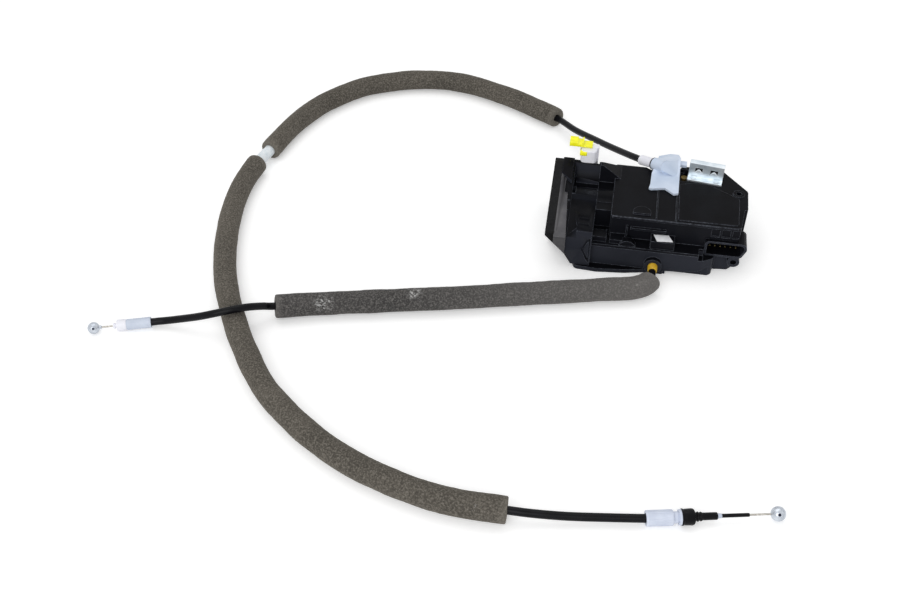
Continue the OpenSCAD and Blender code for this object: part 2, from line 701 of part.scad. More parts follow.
module worm_profile() {
    difference() {
        polygon([for (a = [0 : 24 : 336])
            let (
                d = abs(a > 180 ? a - 360 : a),
                r = d < 50 ? worm_tip : d < 95 ? worm_tip - (d - 50) / 45 * (worm_tip - worm_root) : worm_root
            )
            r * [cos(a), sin(a)]]);
        circle(r = shaft_r + 0.08, $fn = 24);
    }
}
module worm() {
    length = worm_x1 - worm_x0;
    color(white)
        translate([worm_x0, worm_y, shaft_z])
            rotate([90, 0, 90])
                rotate(-360 * (wheel_x + lead / 2 - worm_x0) / lead)
                    linear_extrude(length, twist = -360 * length / lead, slices = ceil(length / lead * 12), segments = 15)
                        worm_profile();
}
module worm_wheel() {
    tip = pitch_r + 0.8 * tooth_m;
    root = pitch_r - 1.1 * tooth_m;
    pitch_a = 360 / wheel_n;
    color(white)
        difference() {
            union() {
                translate([wheel_x, wheel_y, shaft_z - wheel_w / 2])
                    linear_extrude(wheel_w)
                        polygon([for (i = [0 : wheel_n - 1])
                            let (a = -90 + i * pitch_a)
                            each [
                                root * [cos(a + pitch_a * 0.26), sin(a + pitch_a * 0.26)],
                                root * [cos(a + pitch_a * 0.74), sin(a + pitch_a * 0.74)],
                                tip * [cos(a + pitch_a * 0.89), sin(a + pitch_a * 0.89)],
                                tip * [cos(a + pitch_a * 1.11), sin(a + pitch_a * 1.11)]
                            ]]);
                rod_z(floor_t + 2.5, cover_z - 8, wheel_x, wheel_y, 5);
            }
            rod_z(0, cover_z, wheel_x, wheel_y, wheel_pin_r + run);
            // Pockets between the rim and the hub
            for (a = [0 : 60 : 300])
                translate([wheel_x, wheel_y, shaft_z])
                    rotate([0, 0, a])
                        rod_z(-wheel_w, wheel_w, 9, 0, 2.4);
        }
}
module lock_lever() {
    base = [wheel_x, wheel_y];
    dir = unit(lock_tip - base);
    across = [-dir[1], dir[0]];
    color(zinc)
        difference() {
            union() {
                translate([0, 0, cover_z - 8])
                    linear_extrude(arm_t)
                        polygon(concat(
                            [base + 5 * across, base + 5 * across - 4 * dir, base - 5 * across - 4 * dir, base - 5 * across],
                            [lock_tip - 2.6 * across, lock_tip - 1.3 * across + 2.8 * dir],
                            [lock_tip + 1.3 * across + 2.8 * dir, lock_tip + 2.6 * across]
                        ));
            }
            rod_z(0, cover_z, wheel_x, wheel_y, wheel_pin_r + run);
            rod_z(0, cover_z, lock_tip[0], lock_tip[1], nipple_r);
        }
}
// Brass ends of the inner wires, in the levers' holes
nipple_r = 1.4;
module nipple_b() {
    color(brass) {
        rod_z(cover_z - 9, cover_z - 8 + arm_t + eps, lock_tip[0], lock_tip[1], nipple_r);
        rod_z(cover_z - 8 + arm_t, cover_z - 3, lock_tip[0], lock_tip[1], nipple_r + 0.9);
    }
}
module nipple_a() {
    color(brass) {
        rod_z(inside_z - 1.2, inside_z + arm_t + eps, inside_c[0] + 15, inside_c[1], nipple_r);
        rod_z(inside_z + arm_t, inside_z + arm_t + 3, inside_c[0] + 15, inside_c[1], nipple_r + 0.9);
    }
}
module wheel_pin() {
    color(zinc)
        rod_z(floor_t, cover_z - wall, wheel_x, wheel_y, wheel_pin_r);
}
flat_y = 0.78 * motor_r;
module motor() {
    color(zinc) {
        intersection() {
            rod_x(motor_x0, motor_x1, worm_y, shaft_z, motor_r);
            box(motor_x0 - 1, motor_x1 + 1, worm_y - flat_y, worm_y + flat_y, 0, 2 * shaft_z);
        }
        difference() {
            rod_x(motor_x0 - 2, motor_x0 + eps, worm_y, shaft_z, 3);
            rod_x(motor_x0 - 3, motor_x0, worm_y, shaft_z, shaft_r + run);
        }
    }
}
module motor_cap() {
    color(white)
        difference() {
            intersection() {
                rod_x(motor_x1, motor_x1 + 3, worm_y, shaft_z, motor_r - 0.5);
                box(motor_x1 - 1, motor_x1 + 4, worm_y - flat_y + 0.4, worm_y + flat_y - 0.4, 0, 2 * shaft_z);
            }
            rod_x(motor_x1 - 1, motor_x1 + 4, worm_y, shaft_z, 1.6);
        }
}
// The shaft turns in the motor and in a bearing on the case
module worm_shaft() {
    color(steel)
        rod_x(shaft_x0, motor_x0 - 0.4, worm_y, shaft_z, shaft_r);
}

module case_base() {
    color(black)
        difference() {
            union() {
                linear_extrude(rim_t)
                    polygon(rim_outline);
                linear_extrude(base_h)
                    polygon(wall_outline);
                // Round clip boss under the connector
                rod_y(wall_y + 9, wall_y + 16, right_x - 6, 9.5, 4.2);
            }
            difference() {
                translate([0, 0, floor_t])
                    linear_extrude(base_h)
                        polygon(hollow_outline);
                base_inside();
            }
            connector_space(gap);
            // Way in for the striker under the latch
            box(case_x0 - 5, cavity_x1 + 1, slot_y - slot_r - 2, slot_y + slot_r + 2, -1, rim_t + 1);
            // Socket of the cable plug in the front wall
            rod_y(-front_y - 3, -front_y + 8, plug_x, plug_z, plug_r);
            // Window in the left wall for the inside lever
            box(joint_x - 1, joint_x + wall + 1, -26, -3.5, 5.5, 11);
            rod_z(floor_t, 60, wheel_x, wheel_y, wheel_pin_r);
            // Step in the wall beside the connector, and the bow that rises to it
            box(joint_x + 72.5, joint_x + 85, wall_y - 2, wall_y + 6.3, 14.7, base_h + 5);
            translate([0, wall_y + 3.4, 0])
                rotate([90, 0, 0])
                    linear_extrude(8)
                        polygon([
                            [joint_x + 52, -1], [joint_x + 52, 2.5], [joint_x + 64, 3.4], [joint_x + 72, 5],
                            [joint_x + 79, 7.5], [joint_x + 85, 11], [joint_x + 85, -1]
                        ]);
            rod_y(wall_y + 8, wall_y + 13, right_x - 6, 9.5, 2.2);
            for (s = base_screws) {
                rod_z(-1, base_h + 1, s[0], s[1], screw_r + 0.35);
                rod_z(-1, head_h + 0.3, s[0], s[1], head_r + 0.4);
            }
        }
    color(black)
        difference() {
            // Round rim of the cable socket
            rod_y(-front_y + 0.5, wall_y + 1.5, plug_x, plug_z, 6);
            rod_y(-front_y - 3, -front_y + 8, plug_x, plug_z, plug_r);
        }
}
plug_x = 7;
plug_z = 8;
plug_r = 3.5;
base_screws = [[60.5, 10], [-26, 24], [40, 28], [20, -23.5], [-30.5, -30]];
screw_r = 1.25;
head_r = 3.2;
head_h = 1.9;
module base_inside() {
    // Screw towers
    for (s = base_screws)
        rod_z(0, base_h + 1, s[0], s[1], head_r + 1.4);
    // Saddles under the motor and its front bearing
    for (x = [motor_x0 + 3, motor_x1 - 5])
        difference() {
            box(x, x + 2, worm_y - flat_y - 2, worm_y + flat_y + 2, 0, shaft_z - 1);
            intersection() {
                rod_x(x - 1, x + 3, worm_y, shaft_z, motor_r);
                box(x - 1, x + 3, worm_y - flat_y, worm_y + flat_y, 0, 2 * shaft_z);
            }
        }
    // Bearing of the worm's free end
    difference() {
        box(shaft_x0 - 0.5, shaft_x0 + 2, worm_y - 4, worm_y + 4, 0, shaft_z + 3);
        rod_x(shaft_x0 - 2, shaft_x0 + 4, worm_y, shaft_z, shaft_r + run);
    }
    // Foot of the wheel's pin
    rod_z(0, floor_t + 2.2, wheel_x, wheel_y, 4.5);
}

// Raised end of the cover over the levers, which carries on the latch block's shapes
module cover_shell() {
    linear_extrude(flange_z)
        polygon(wall_outline);
    linear_extrude(cover_z)
        polygon(cover_outline);
    linear_extrude(roof_z)
        polygon([[joint_x, -18], [step_x + 2, -18], [step_x + 2, back_y], [joint_x, back_y]]);
    rod_x(joint_x, step_x + 1, -2.5, roof_z - 4, 8);
    // Ramp from the tall part down to the cover
    translate([0, back_y, 0])
        rotate([90, 0, 0])
            linear_extrude(back_y - tower_y)
                polygon([[joint_x, roof_z - 2], [joint_x, tower_z], [joint_x + 2, tower_z], [step_x + 4, cover_z], [step_x + 4, roof_z - 2]]);
}
module case_cover() {
    color(black)
        difference() {
            union() {
                intersection() {
                    cover_shell();
                    // The back of the ramp slopes like the latch block
                    along_x(joint_x, right_x + 1)
                        polygon([
                            [-60, base_h], [-60, tower_z], [tower_top_y, tower_z], [back_y - 0.5, 37], [60, 37], [60, base_h]
                        ]);
                }
                // The rest of the roof behind the slope
                intersection() {
                    linear_extrude(cover_z)
                        polygon(cover_outline);
                    box(step_x, right_x + 1, 0, 60, base_h, cover_z + 1);
                }
                cover_outside();
            }
            difference() {
                union() {
                    linear_extrude(flange_z - wall + 0.2)
                        polygon(hollow_outline);
                    linear_extrude(cover_z - wall)
                        polygon(cover_hollow);
                }
                box(joint_x, step_x + 1, -50, 50, roof_z - wall, 60);
                box(joint_x, step_x + 2, -50, -16.2, flange_z - wall + 0.2, 60);
                for (s = base_screws)
                    rod_z(base_h, cover_z, s[0], s[1], 3.6);
                rod_z(cover_z - 5.6, cover_z, wheel_x, wheel_y, 4.5);
            }
            // Saddle under the washer and the ferrule of cable B
            on_line(b_start, b_dir, 0.7, 14, 4.8);
            // Window that shows the end of the lock lever
            box(20, 25.5, 19, 33, cover_z - wall - 1, cover_z + 1);
            connector_space(gap);
            rod_z(0, cover_z - wall + eps, wheel_x, wheel_y, wheel_pin_r + run);
            rod_x(joint_x - 1, joint_x + wall + 1, lever_c[0], lever_c[1], pin_r + run);
            // Recess at the front left and the three pockets over the connector
            box(joint_x - 1, step_x - 2, -27, -19, 22.5, roof_z + 1);
            for (i = [0 : 2])
                box(right_x - 24 + i * 7, right_x - 18.4 + i * 7, -ledge_y - 1, -ledge_y + 1.2, 29, 35.5);
            // Bores that take the screws from below, one of them open at the top
            for (s = base_screws)
                rod_z(0, screw_top, s[0], s[1], screw_r + 0.05);
            rod_z(0, 60, base_screws[0][0], base_screws[0][1], 2);
            // Step beside the connector
            box(joint_x + 72.5, joint_x + 85, wall_y - 2, wall_y + 6.3, base_h - 1, flange_z + 1);
        }
}
screw_top = flange_z + 2;
module cover_outside() {
    // Raised panel and its edges on the top face
    translate([0, 0, cover_z - eps])
        linear_extrude(0.6)
            polygon(rounded([[20, -26, 1], [60, -25.5, 2], [61, 4, 3], [40, 17, 2], [28, 17, 2], [20, 14, 1]]));
    for (x = [5, 18])
        box(x, x + 0.9, -27, x == 5 ? 4 : 0, cover_z - eps, cover_z + 1);
    // Half-round bump at the ledge
    translate([-4.5, -ledge_y + 6, 0])
        intersection() {
            rod_z(cover_z - 1, cover_z + 1.2, 0, 0, 6);
            box(-7, 7, -2, 7, 0, 60);
        }
    // Rib along the wall under the ledge
    box(-11, 13, -ledge_y - 2, -ledge_y + 0.5, 29, 30.5);
    box(-14, -12.8, -ledge_y - 3, -ledge_y + 0.5, flange_z - eps, 31);
    // Long lip on the ledge itself
    box(step_x + 1, right_x - 7, -ledge_y - 0.7, -ledge_y + 0.5, cover_z - 1.6, cover_z - 0.3);
    // Bump and pad on the front shelf
    intersection() {
        rod_y(wall_y + 1, wall_y + 6, -12, flange_z - 2, 6);
        box(-30, 10, -front_y, 0, flange_z - eps, 40);
    }
    // Blocks at the front left over a screw and beside it
    box(joint_x, joint_x + 9.5, wall_y + 3, -ledge_y + 2, flange_z - eps, flange_z + 4);
    box(joint_x + 12, joint_x + 22, wall_y + 2.5, -ledge_y + 0.2, flange_z - eps, flange_z + 3);
    box(3.5, 19.5, wall_y + 1.5, -ledge_y + 0.2, flange_z - eps, pad_z);
    // Round boss on the top face
    rod_z(cover_z - 1, cover_z + 0.8, base_screws[0][0], base_screws[0][1], 4);
    // Clip boss beside the connector
    box(right_x - 7, right_x - 5.4, -14, -8, base_h, base_h + 4);
}
pad_z = 26;

// Screws of the cover, driven from below
module cover_screws() {
    color(zinc)
        for (s = base_screws)
            difference() {
                union() {
                    rod_z(0.3, head_h + 0.3, s[0], s[1], head_r);
                    rod_z(head_h, screw_top - 0.5, s[0], s[1], screw_r);
                }
                for (a = [0, 90])
                    translate([s[0], s[1], 0])
                        rotate([0, 0, a])
                            translate([-1.8, -0.4, 0])
                                cube([3.6, 0.8, 1.2]);
            }
}

// Connector: open shroud that faces the front, with pins in two rows
conn_x1 = right_x + 1;
conn_x0 = conn_x1 - conn_w;
conn_y0 = -ledge_y - 2.5;
conn_y1 = conn_y0 + conn_d;
conn_z0 = 14.4;
conn_z1 = conn_z0 + conn_h;
module connector_space(g) {
    box(conn_x0 - g, conn_x1 + 5, conn_y0 - 20, conn_y1, conn_z0, conn_z1);
}
module connector_outline(inset) {
    polygon(rounded([
        [conn_x0 + inset, conn_z0 + inset, 2 - inset / 2], [conn_x1 - 3 - inset / 2, conn_z0 + inset, 3 - inset / 2],
        [conn_x1 - inset, conn_z0 + 7, 2 - inset / 2],
        [conn_x1 - inset, conn_z1 - inset, 4 - inset / 2], [conn_x0 + inset, conn_z1 - inset, 3 - inset / 2]
    ]));
}
pin_xs = [for (i = [0 : 5]) conn_x0 + 3.7 + i * 3.5];
pin_zs = [conn_z0 + 4, conn_z1 - 4];
module connector_shroud() {
    color(black)
        difference() {
            translate([0, conn_y1, 0])
                rotate([90, 0, 0])
                    linear_extrude(conn_d)
                        connector_outline(0);
            translate([0, conn_y1 - 2, 0])
                rotate([90, 0, 0])
                    linear_extrude(conn_d)
                        connector_outline(conn_wall);
            for (x = pin_xs, z = pin_zs)
                box(x - 0.5, x + 0.5, conn_y1 - 3, conn_y1 + 1, z - 0.32, z + 0.32);
        }
}
module terminals() {
    color(brass)
        for (x = pin_xs, z = pin_zs)
            box(x - 0.5, x + 0.5, conn_y1 - 9, conn_y1 - 0.05, z - 0.32, z + 0.32);
}
// Copper tracks on the floor between the motor and the connector
module lead_frame() {
    color(brass)
        for (i = [0 : 2])
            box(motor_x0 + 8 + i * 2.6, motor_x0 + 9.8 + i * 2.6, worm_y - motor_r - 6, worm_y - motor_r - 2.2, floor_t, floor_t + 0.8);
}
module lock_switch() {
    color(dark) {
        box(-20, -7, 18, 24, floor_t, floor_t + 7);
        rod_z(floor_t + 6.5, floor_t + 8.2, -10, 21, 1.2);
    }
}

// Inside release lever, turned by cable A
inside_c = [-8, -20];
inside_z = 6.5;
module inside_lever() {
    color(zinc)
        difference() {
            translate([0, 0, inside_z])
                linear_extrude(arm_t)
                    polygon(concat(
                        [[joint_x - 2.4, inside_c[1] + 2.5], [joint_x - 2.4, inside_c[1] - 2.5]],
                        [inside_c + [-4, -4.5], inside_c + [4, -4.5]],
                        arc(inside_c + [15, 0], 3.4, -70, 70, 6),
                        [inside_c + [4, 4.5], inside_c + [-4, 4.5]]
                    ));
            rod_z(0, 20, inside_c[0], inside_c[1], pin_r + run);
            rod_z(0, 20, inside_c[0] + 15, inside_c[1], nipple_r);
        }
}
module inside_lever_pin() {
    color(zinc) {
        rod_z(floor_t, inside_z + arm_t + 1.2, inside_c[0], inside_c[1], pin_r);
        rod_z(floor_t, inside_z - 0.1, inside_c[0], inside_c[1], pin_r + 1.5);
        rod_z(inside_z + arm_t + 0.1, inside_z + arm_t + 1.2, inside_c[0], inside_c[1], pin_r + 1.5);
    }
}

// Blue-grey fitting that holds the end of cable B on the cover
module cable_fitting() {
    color([0.72, 0.78, 0.86])
        difference() {
            union() {
                translate([0, 0, cover_z])
                    linear_extrude(1.8)
                        polygon([
                            [0, 24], [-0.5, 9.5], [-1.3, 5.2], [0.8, 4.4], [9.7, 6.6], [16, 1], [19.1, 2],
                            [19.4, 20], [19.4, 26], [18, 30]
                        ]);
                hull() {
                    translate([0, 22, cover_z])
                        cube([19.4, 0.5, 1.8]);
                    translate([4, 34, cover_z])
                        cube([15.4, 4, 6]);
                    translate([12, 41, cover_z])
                        cube([6, 3, 4.5]);
                }
                translate([19.2, 35, cover_z])
                    cube([5, 5, 2.2]);
                intersection() {
                    on_line(b_start, b_dir, -9, 1, 4.6);
                    box(-20, 20, 0, 60, cover_z, 60);
                }
            }
            on_line(b_start, b_dir, -6, 3, 1.6);
            on_line(b_start, b_dir, 1, 14, 4.8);
        }
}
module fitting_washer() {
    color(black)
        difference() {
            on_line(b_start, b_dir, 1, 2.2, 4.4);
            on_line(b_start, b_dir, 0, 3, 1.6);
        }
}

// Zinc-plated bracket on the cover, with two lanced windows
bracket_w = 24;
bracket_h = 12.5;
sheet = 1.4;
module in_bracket() {
    translate([25.2, 24.6, cover_z])
        rotate([0, 0, -8])
            children();
}
module mount_bracket() {
    color(zinc)
        in_bracket()
            difference() {
                union() {
                    cube([bracket_w, sheet, bracket_h]);
                    translate([0, -4.5, 0])
                        cube([bracket_w, 5, sheet]);
                    translate([0, 0, bracket_h - sheet])
                        cube([bracket_w, 4.5, sheet]);
                }
                for (x = [6.8, 17.4])
                    translate([x, sheet + 1, 0])
                        rotate([90, 0, 0])
                            linear_extrude(sheet + 2)
                                polygon([
                                    [-2.6, 4.6], [-0.4, 7], [0.4, 7], [2.6, 4.6], [2.6, 9], [-2.6, 9]
                                ]);
                for (x = [4, 20])
                    rod_z(-1, 3, x, -2.2, 1.2 + run);
            }
}
module bracket_rivets() {
    color(zinc)
        in_bracket()
            for (x = [4, 20]) {
                rod_z(0, sheet + 0.2, x, -2.2, 1.2);
                rod_z(sheet, sheet + 0.8, x, -2.2, 2);
            }
}

module label() {
    color(white)
        translate([0, 0, pad_z])
            linear_extrude(0.25)
                polygon([[5, -29], [15.2, -28.4], [18.4, -35], [7.6, -36]]);
}

// Round plug of cable A in the front wall
module cable_plug() {
    color([0.93, 0.75, 0.2])
        difference() {
            union() {
                rod_y(-front_y - 4.5, -front_y + 4, plug_x, plug_z, plug_r);
                rod_y(-front_y - 1, -front_y + 0.5, plug_x, plug_z, 4.6);
            }
            rod_y(-front_y - 6, -front_y + 6, plug_x, plug_z, 1.5);
        }
}
module conduit_a() {
    color(black)
        tube(route_a, conduit_r, 8);
}
module foam_a() {
    color(foam_grey)
        sleeve(route_a, foam_a_from, foam_a_to, foam_r, foam_bore, 8);
}
module conduit_b() {
    color(black)
        tube(route_b, conduit_r, 8);
}
module foam_b_upper() {
    color(foam_grey)
        sleeve(route_b, foam_b_upper_from, foam_b_upper_to, foam_r, foam_bore, 8);
}
module foam_b_lower() {
    color(foam_grey)
        sleeve(route_b, foam_b_lower_from, foam_b_lower_to, foam_r, foam_bore, 8);
}
module band_b() {
    color(white)
        sleeve(route_b, foam_b_upper_to, foam_b_lower_from, 4.3, foam_bore, 8);
}

// Far end of cable A: ferrule, collar, tip, then the wire and its ball
a_end = route_a[len(route_a) - 1];
a_dir = unit([-14.8, -5, 0]);
module ball_on(start, dir, d, r) {
    flat = norm([dir[0], dir[1]]);
    translate(start + dir * d)
        rotate([0, atan2(flat, dir[2]), atan2(dir[1], dir[0])])
            sphere(r = r);
}
module ferrule_a() {
    color(white)
        difference() {
            on_line(a_end, a_dir, 0.3, 16, 3.6);
            on_line(a_end, a_dir, 0, 17, wire_r + 0.3);
        }
}
module collar_a() {
    color(white)
        difference() {
            union() {
                on_line(a_end, a_dir, 16, 22, 3.9);
                on_line(a_end, a_dir, 22 - eps, 24.5, 2);
            }
            on_line(a_end, a_dir, 15, 26, wire_r + 0.3);
        }
}
module wire_a() {
    color(zinc) {
        on_line(a_end, a_dir, 4, 36, wire_r);
        on_line(a_end, a_dir, 31.5, 35, 1.3);
        ball_on(a_end, a_dir, 37, ball_r - 0.3);
    }
}

// Near and far end of cable B
b_end = route_b[len(route_b) - 1];
b_far = unit([14.6, 3.2, 0]);
module ferrule_b_case() {
    color(white)
        difference() {
            on_line(b_start, b_dir, 2.2, norm(route_b[0] - b_start) - 0.3, 3.6);
            on_line(b_start, b_dir, 1, 30, 1.6);
        }
}
module ferrule_b() {
    color(white)
        difference() {
            union() {
                on_line(b_end, b_far, 0.3, 15.5, 4.5);
                on_line(b_end, b_far, 15.5 - eps, 20, 2.6);
            }
            on_line(b_end, b_far, -1, 21, 1.45);
        }
}
module boot_b() {
    color(dark)
        difference() {
            union() {
                on_line(b_end, b_far, 20, 21.5, 4.8);
                on_line(b_end, b_far, 21.5 - eps, 27, 4.75);
                on_line(b_end, b_far, 27 - eps, 31, 2.6);
                on_line(b_end, b_far, 31 - eps, 40.5, 2);
            }
            on_line(b_end, b_far, 19, 42, 1.45);
        }
}
module wire_b() {
    color(zinc) {
        on_line(b_end, b_far, 18, 58, 1.1);
        on_line(b_end, b_far, 58 - eps, 70, wire_r);
        on_line(b_end, b_far, 68, 72, 1.4);
        ball_on(b_end, b_far, 74, ball_r);
    }
}

case_base();
case_cover();
cover_screws();
latch_case();
latch_plate();
face_seal();
rear_plate();
bump_stop();
fork();
fork_pin();
fork_spring();
pawl();
pawl_pin();
pawl_spring();
outside_lever();
rod_clip();
release_arm();
lever_pin();
inside_lever();
inside_lever_pin();
nipple_a();
motor();
motor_cap();
worm();
worm_shaft();
worm_wheel();
lock_lever();
nipple_b();
wheel_pin();
lock_switch();
lead_frame();
connector_shroud();
terminals();
cable_fitting();
fitting_washer();
mount_bracket();
bracket_rivets();
label();
cable_plug();
conduit_a();
foam_a();
ferrule_a();
collar_a();
wire_a();
ferrule_b_case();
conduit_b();
foam_b_upper();
band_b();
foam_b_lower();
ferrule_b();
boot_b();
wire_b();
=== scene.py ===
import math

import bmesh
import bpy
from mathutils import Matrix, Vector, noise


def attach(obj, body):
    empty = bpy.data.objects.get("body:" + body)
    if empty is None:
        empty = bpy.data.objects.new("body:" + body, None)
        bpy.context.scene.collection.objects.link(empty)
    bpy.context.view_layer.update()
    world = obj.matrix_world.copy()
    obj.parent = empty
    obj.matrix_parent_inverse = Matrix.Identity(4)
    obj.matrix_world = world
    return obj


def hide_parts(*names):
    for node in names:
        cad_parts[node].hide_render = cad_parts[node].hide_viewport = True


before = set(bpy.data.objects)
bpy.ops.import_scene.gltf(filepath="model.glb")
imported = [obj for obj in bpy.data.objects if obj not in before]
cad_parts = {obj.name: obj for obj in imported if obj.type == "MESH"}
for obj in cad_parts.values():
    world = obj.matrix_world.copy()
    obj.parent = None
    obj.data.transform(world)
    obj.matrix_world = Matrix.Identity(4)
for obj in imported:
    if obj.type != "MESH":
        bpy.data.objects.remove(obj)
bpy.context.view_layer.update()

# Camera, table and studio light.
# The lock lies on a white table and is seen from the front and above,
# under two large soft lamps with plain white all round.
scene = bpy.context.scene
scene.view_settings.view_transform = "Standard"

camera_place = Vector((-0.0303, -0.6262, 0.5079))
line_of_sight = Vector((-0.127, 0.7203, -0.682))
camera_data = bpy.data.cameras.new("photo_camera")
camera_data.lens = 44.35
camera_data.sensor_width = 36.0
camera_data.clip_start = 0.02
camera_data.clip_end = 30.0
camera = bpy.data.objects.new("photo_camera", camera_data)
camera.location = camera_place
camera.rotation_euler = line_of_sight.to_track_quat("-Z", "Y").to_euler()
scene.collection.objects.link(camera)
scene.camera = camera

white_room = bpy.data.worlds.new("white_room")
white_room.use_nodes = True
scene.world = white_room
room_tree = white_room.node_tree
room_light = 0.6
background = room_tree.nodes["Background"]
background.inputs["Color"].default_value = (1.0, 1.0, 1.0, 1.0)


def seen_directly(tree):
    """1 for a ray from the camera, or one that is mirrored or let through on its way to it."""
    ray = tree.nodes.new("ShaderNodeLightPath")
    seen = ray.outputs["Is Camera Ray"]
    for other in ("Is Glossy Ray", "Is Transmission Ray"):
        either = tree.nodes.new("ShaderNodeMath")
        either.operation = "MAXIMUM"
        tree.links.new(seen, either.inputs[0])
        tree.links.new(ray.outputs[other], either.inputs[1])
        seen = either.outputs[0]
    return seen


room_level = room_tree.nodes.new("ShaderNodeMapRange")
room_level.inputs["To Min"].default_value = room_light
room_level.inputs["To Max"].default_value = 1.0
room_tree.links.new(seen_directly(room_tree), room_level.inputs["Value"])
room_tree.links.new(room_level.outputs["Result"], background.inputs["Strength"])

lamp_target = Vector((-0.1, 0, 0.02))
lamp_depth = 0.9
for lamp_name, lamp_place, lamp_width, lamp_energy in (
        ("overhead_lamp", (-0.35, 0.3, 1.25), 1.4, 3.8),
        ("front_lamp", (-0.25, -1.05, 0.7), 1.0, 6.0)):
    lamp_data = bpy.data.lights.new(lamp_name, "AREA")
    lamp_data.shape = "RECTANGLE"
    lamp_data.size = lamp_width
    lamp_data.size_y = lamp_depth
    lamp_data.energy = lamp_energy
    lamp = bpy.data.objects.new(lamp_name, lamp_data)
    lamp.location = lamp_place
    lamp.rotation_euler = (lamp_target - lamp.location).to_track_quat("-Z", "Y").to_euler()
    scene.collection.objects.link(lamp)

table_half = 6.0
table_gap = 0.0002
table_bm = bmesh.new()
bmesh.ops.create_grid(table_bm, x_segments=1, y_segments=1, size=table_half)
bmesh.ops.translate(table_bm, vec=(0, 0, -table_gap), verts=table_bm.verts)
table_mesh = bpy.data.meshes.new("white_table")
table_bm.to_mesh(table_mesh)
table_bm.free()
table = bpy.data.objects.new("white_table", table_mesh)
scene.collection.objects.link(table)
table_paint = bpy.data.materials.new("white_table")
table_paint.use_nodes = True
table_tree = table_paint.node_tree
table_shader = table_tree.nodes["Principled BSDF"]
table_shader.inputs["Base Color"].default_value = (0.93, 0.93, 0.93, 1.0)
table_shader.inputs["Roughness"].default_value = 0.9
table_shader.inputs["Specular IOR Level"].default_value = 0.0
table_shader.inputs["Emission Color"].default_value = (1.0, 1.0, 1.0, 1.0)
table_lift = table_tree.nodes.new("ShaderNodeMapRange")
table_lift.inputs["To Max"].default_value = 0.27
table_tree.links.new(seen_directly(table_tree), table_lift.inputs["Value"])
table_tree.links.new(table_lift.outputs["Result"], table_shader.inputs["Emission Strength"])
table_mesh.materials.append(table_paint)

# Cable A, to the inside door handle: black plastic conduit with one long foam sleeve.
# The conduit is extruded over the wire's liner, and the foam is a die-cut tube
# slid over it, so that the cable doesn't rattle in the door.
mm = 0.001


def linear(red, green, blue):
    """A screen colour, 0 to 255, as the renderer's linear colour."""
    return tuple((c / 12.92 if c <= 0.04045 else ((c + 0.055) / 1.055) ** 2.4)
                 for c in (red / 255, green / 255, blue / 255)) + (1.0,)


def new_group(name, inputs, outputs):
    """An empty shader group with its named sockets, and its two ends."""
    group = bpy.data.node_groups.new(name, "ShaderNodeTree")
    for label, value in inputs:
        made = group.interface.new_socket(label, in_out="INPUT", socket_type="NodeSocketFloat")
        made.default_value = value
    for label, kind in outputs:
        group.interface.new_socket(label, in_out="OUTPUT", socket_type=kind)
    return group, group.nodes.new("NodeGroupInput"), group.nodes.new("NodeGroupOutput")


def maths(tree, operation, first, second=None, clamp=False):
    """One arithmetic node. Each operand is a number or another node's output."""
    node = tree.nodes.new("ShaderNodeMath")
    node.operation = operation
    node.use_clamp = clamp
    for socket, value in zip(node.inputs, (first, second)):
        if value is None:
            continue
        if isinstance(value, (int, float)):
            socket.default_value = value
        else:
            tree.links.new(value, socket)
    return node.outputs[0]


def noise_of(tree, vector, scale, detail=2.0, roughness=0.5):
    """Cloudy noise from 0 to 1. Its scale is a number or another node's output."""
    node = tree.nodes.new("ShaderNodeTexNoise")
    node.inputs["Detail"].default_value = detail
    node.inputs["Roughness"].default_value = roughness
    tree.links.new(vector, node.inputs["Vector"])
    if isinstance(scale, (int, float)):
        node.inputs["Scale"].default_value = scale
    else:
        tree.links.new(scale, node.inputs["Scale"])
    return node.outputs["Fac"]


tone_group, tone_in, tone_out = new_group(
    "uneven_tone", [("Cloud Size", 60.0), ("Grain Size", 2200.0)],
    [("Cloud", "NodeSocketFloat"), ("Grain", "NodeSocketFloat")])
tone_place = tone_group.nodes.new("ShaderNodeTexCoord").outputs["Object"]
tone_group.links.new(
    noise_of(tone_group, tone_place, tone_in.outputs["Cloud Size"], 3.0),
    tone_out.inputs["Cloud"])
tone_group.links.new(
    noise_of(tone_group, tone_place, tone_in.outputs["Grain Size"], 2.0, 0.6),
    tone_out.inputs["Grain"])

# Edge mask for rubbed edges, which the finishes also use for a painted highlight along edges.
edge_group, edge_in, edge_out = new_group(
    "rubbed_and_highlit_edges", [("Gain", 6.0)],
    [("Rubbed And Highlit", "NodeSocketFloat"), ("Round Normal", "NodeSocketVector")])
edge_radius = 0.5 * mm
edge_round = edge_group.nodes.new("ShaderNodeBevel")
edge_round.samples = 6
edge_round.inputs["Radius"].default_value = edge_radius
edge_flat = edge_group.nodes.new("ShaderNodeNewGeometry")
edge_dot = edge_group.nodes.new("ShaderNodeVectorMath")
edge_dot.operation = "DOT_PRODUCT"
edge_group.links.new(edge_round.outputs["Normal"], edge_dot.inputs[0])
edge_group.links.new(edge_flat.outputs["Normal"], edge_dot.inputs[1])
edge_turn = maths(edge_group, "SUBTRACT", 1.0, edge_dot.outputs["Value"])
edge_gain = maths(edge_group, "MULTIPLY", edge_turn, edge_in.outputs["Gain"], clamp=True)
edge_place = edge_group.nodes.new("ShaderNodeTexCoord").outputs["Object"]
edge_break = noise_of(edge_group, edge_place, 420.0, 3.0)
edge_patchy = maths(edge_group, "SUBTRACT", maths(edge_group, "MULTIPLY", edge_break, 2.4), 0.6,
                    clamp=True)
edge_mask = maths(edge_group, "MULTIPLY", edge_gain, edge_patchy)
edge_group.links.new(edge_mask, edge_out.inputs["Rubbed And Highlit"])
edge_group.links.new(edge_round.outputs["Normal"], edge_out.inputs["Round Normal"])


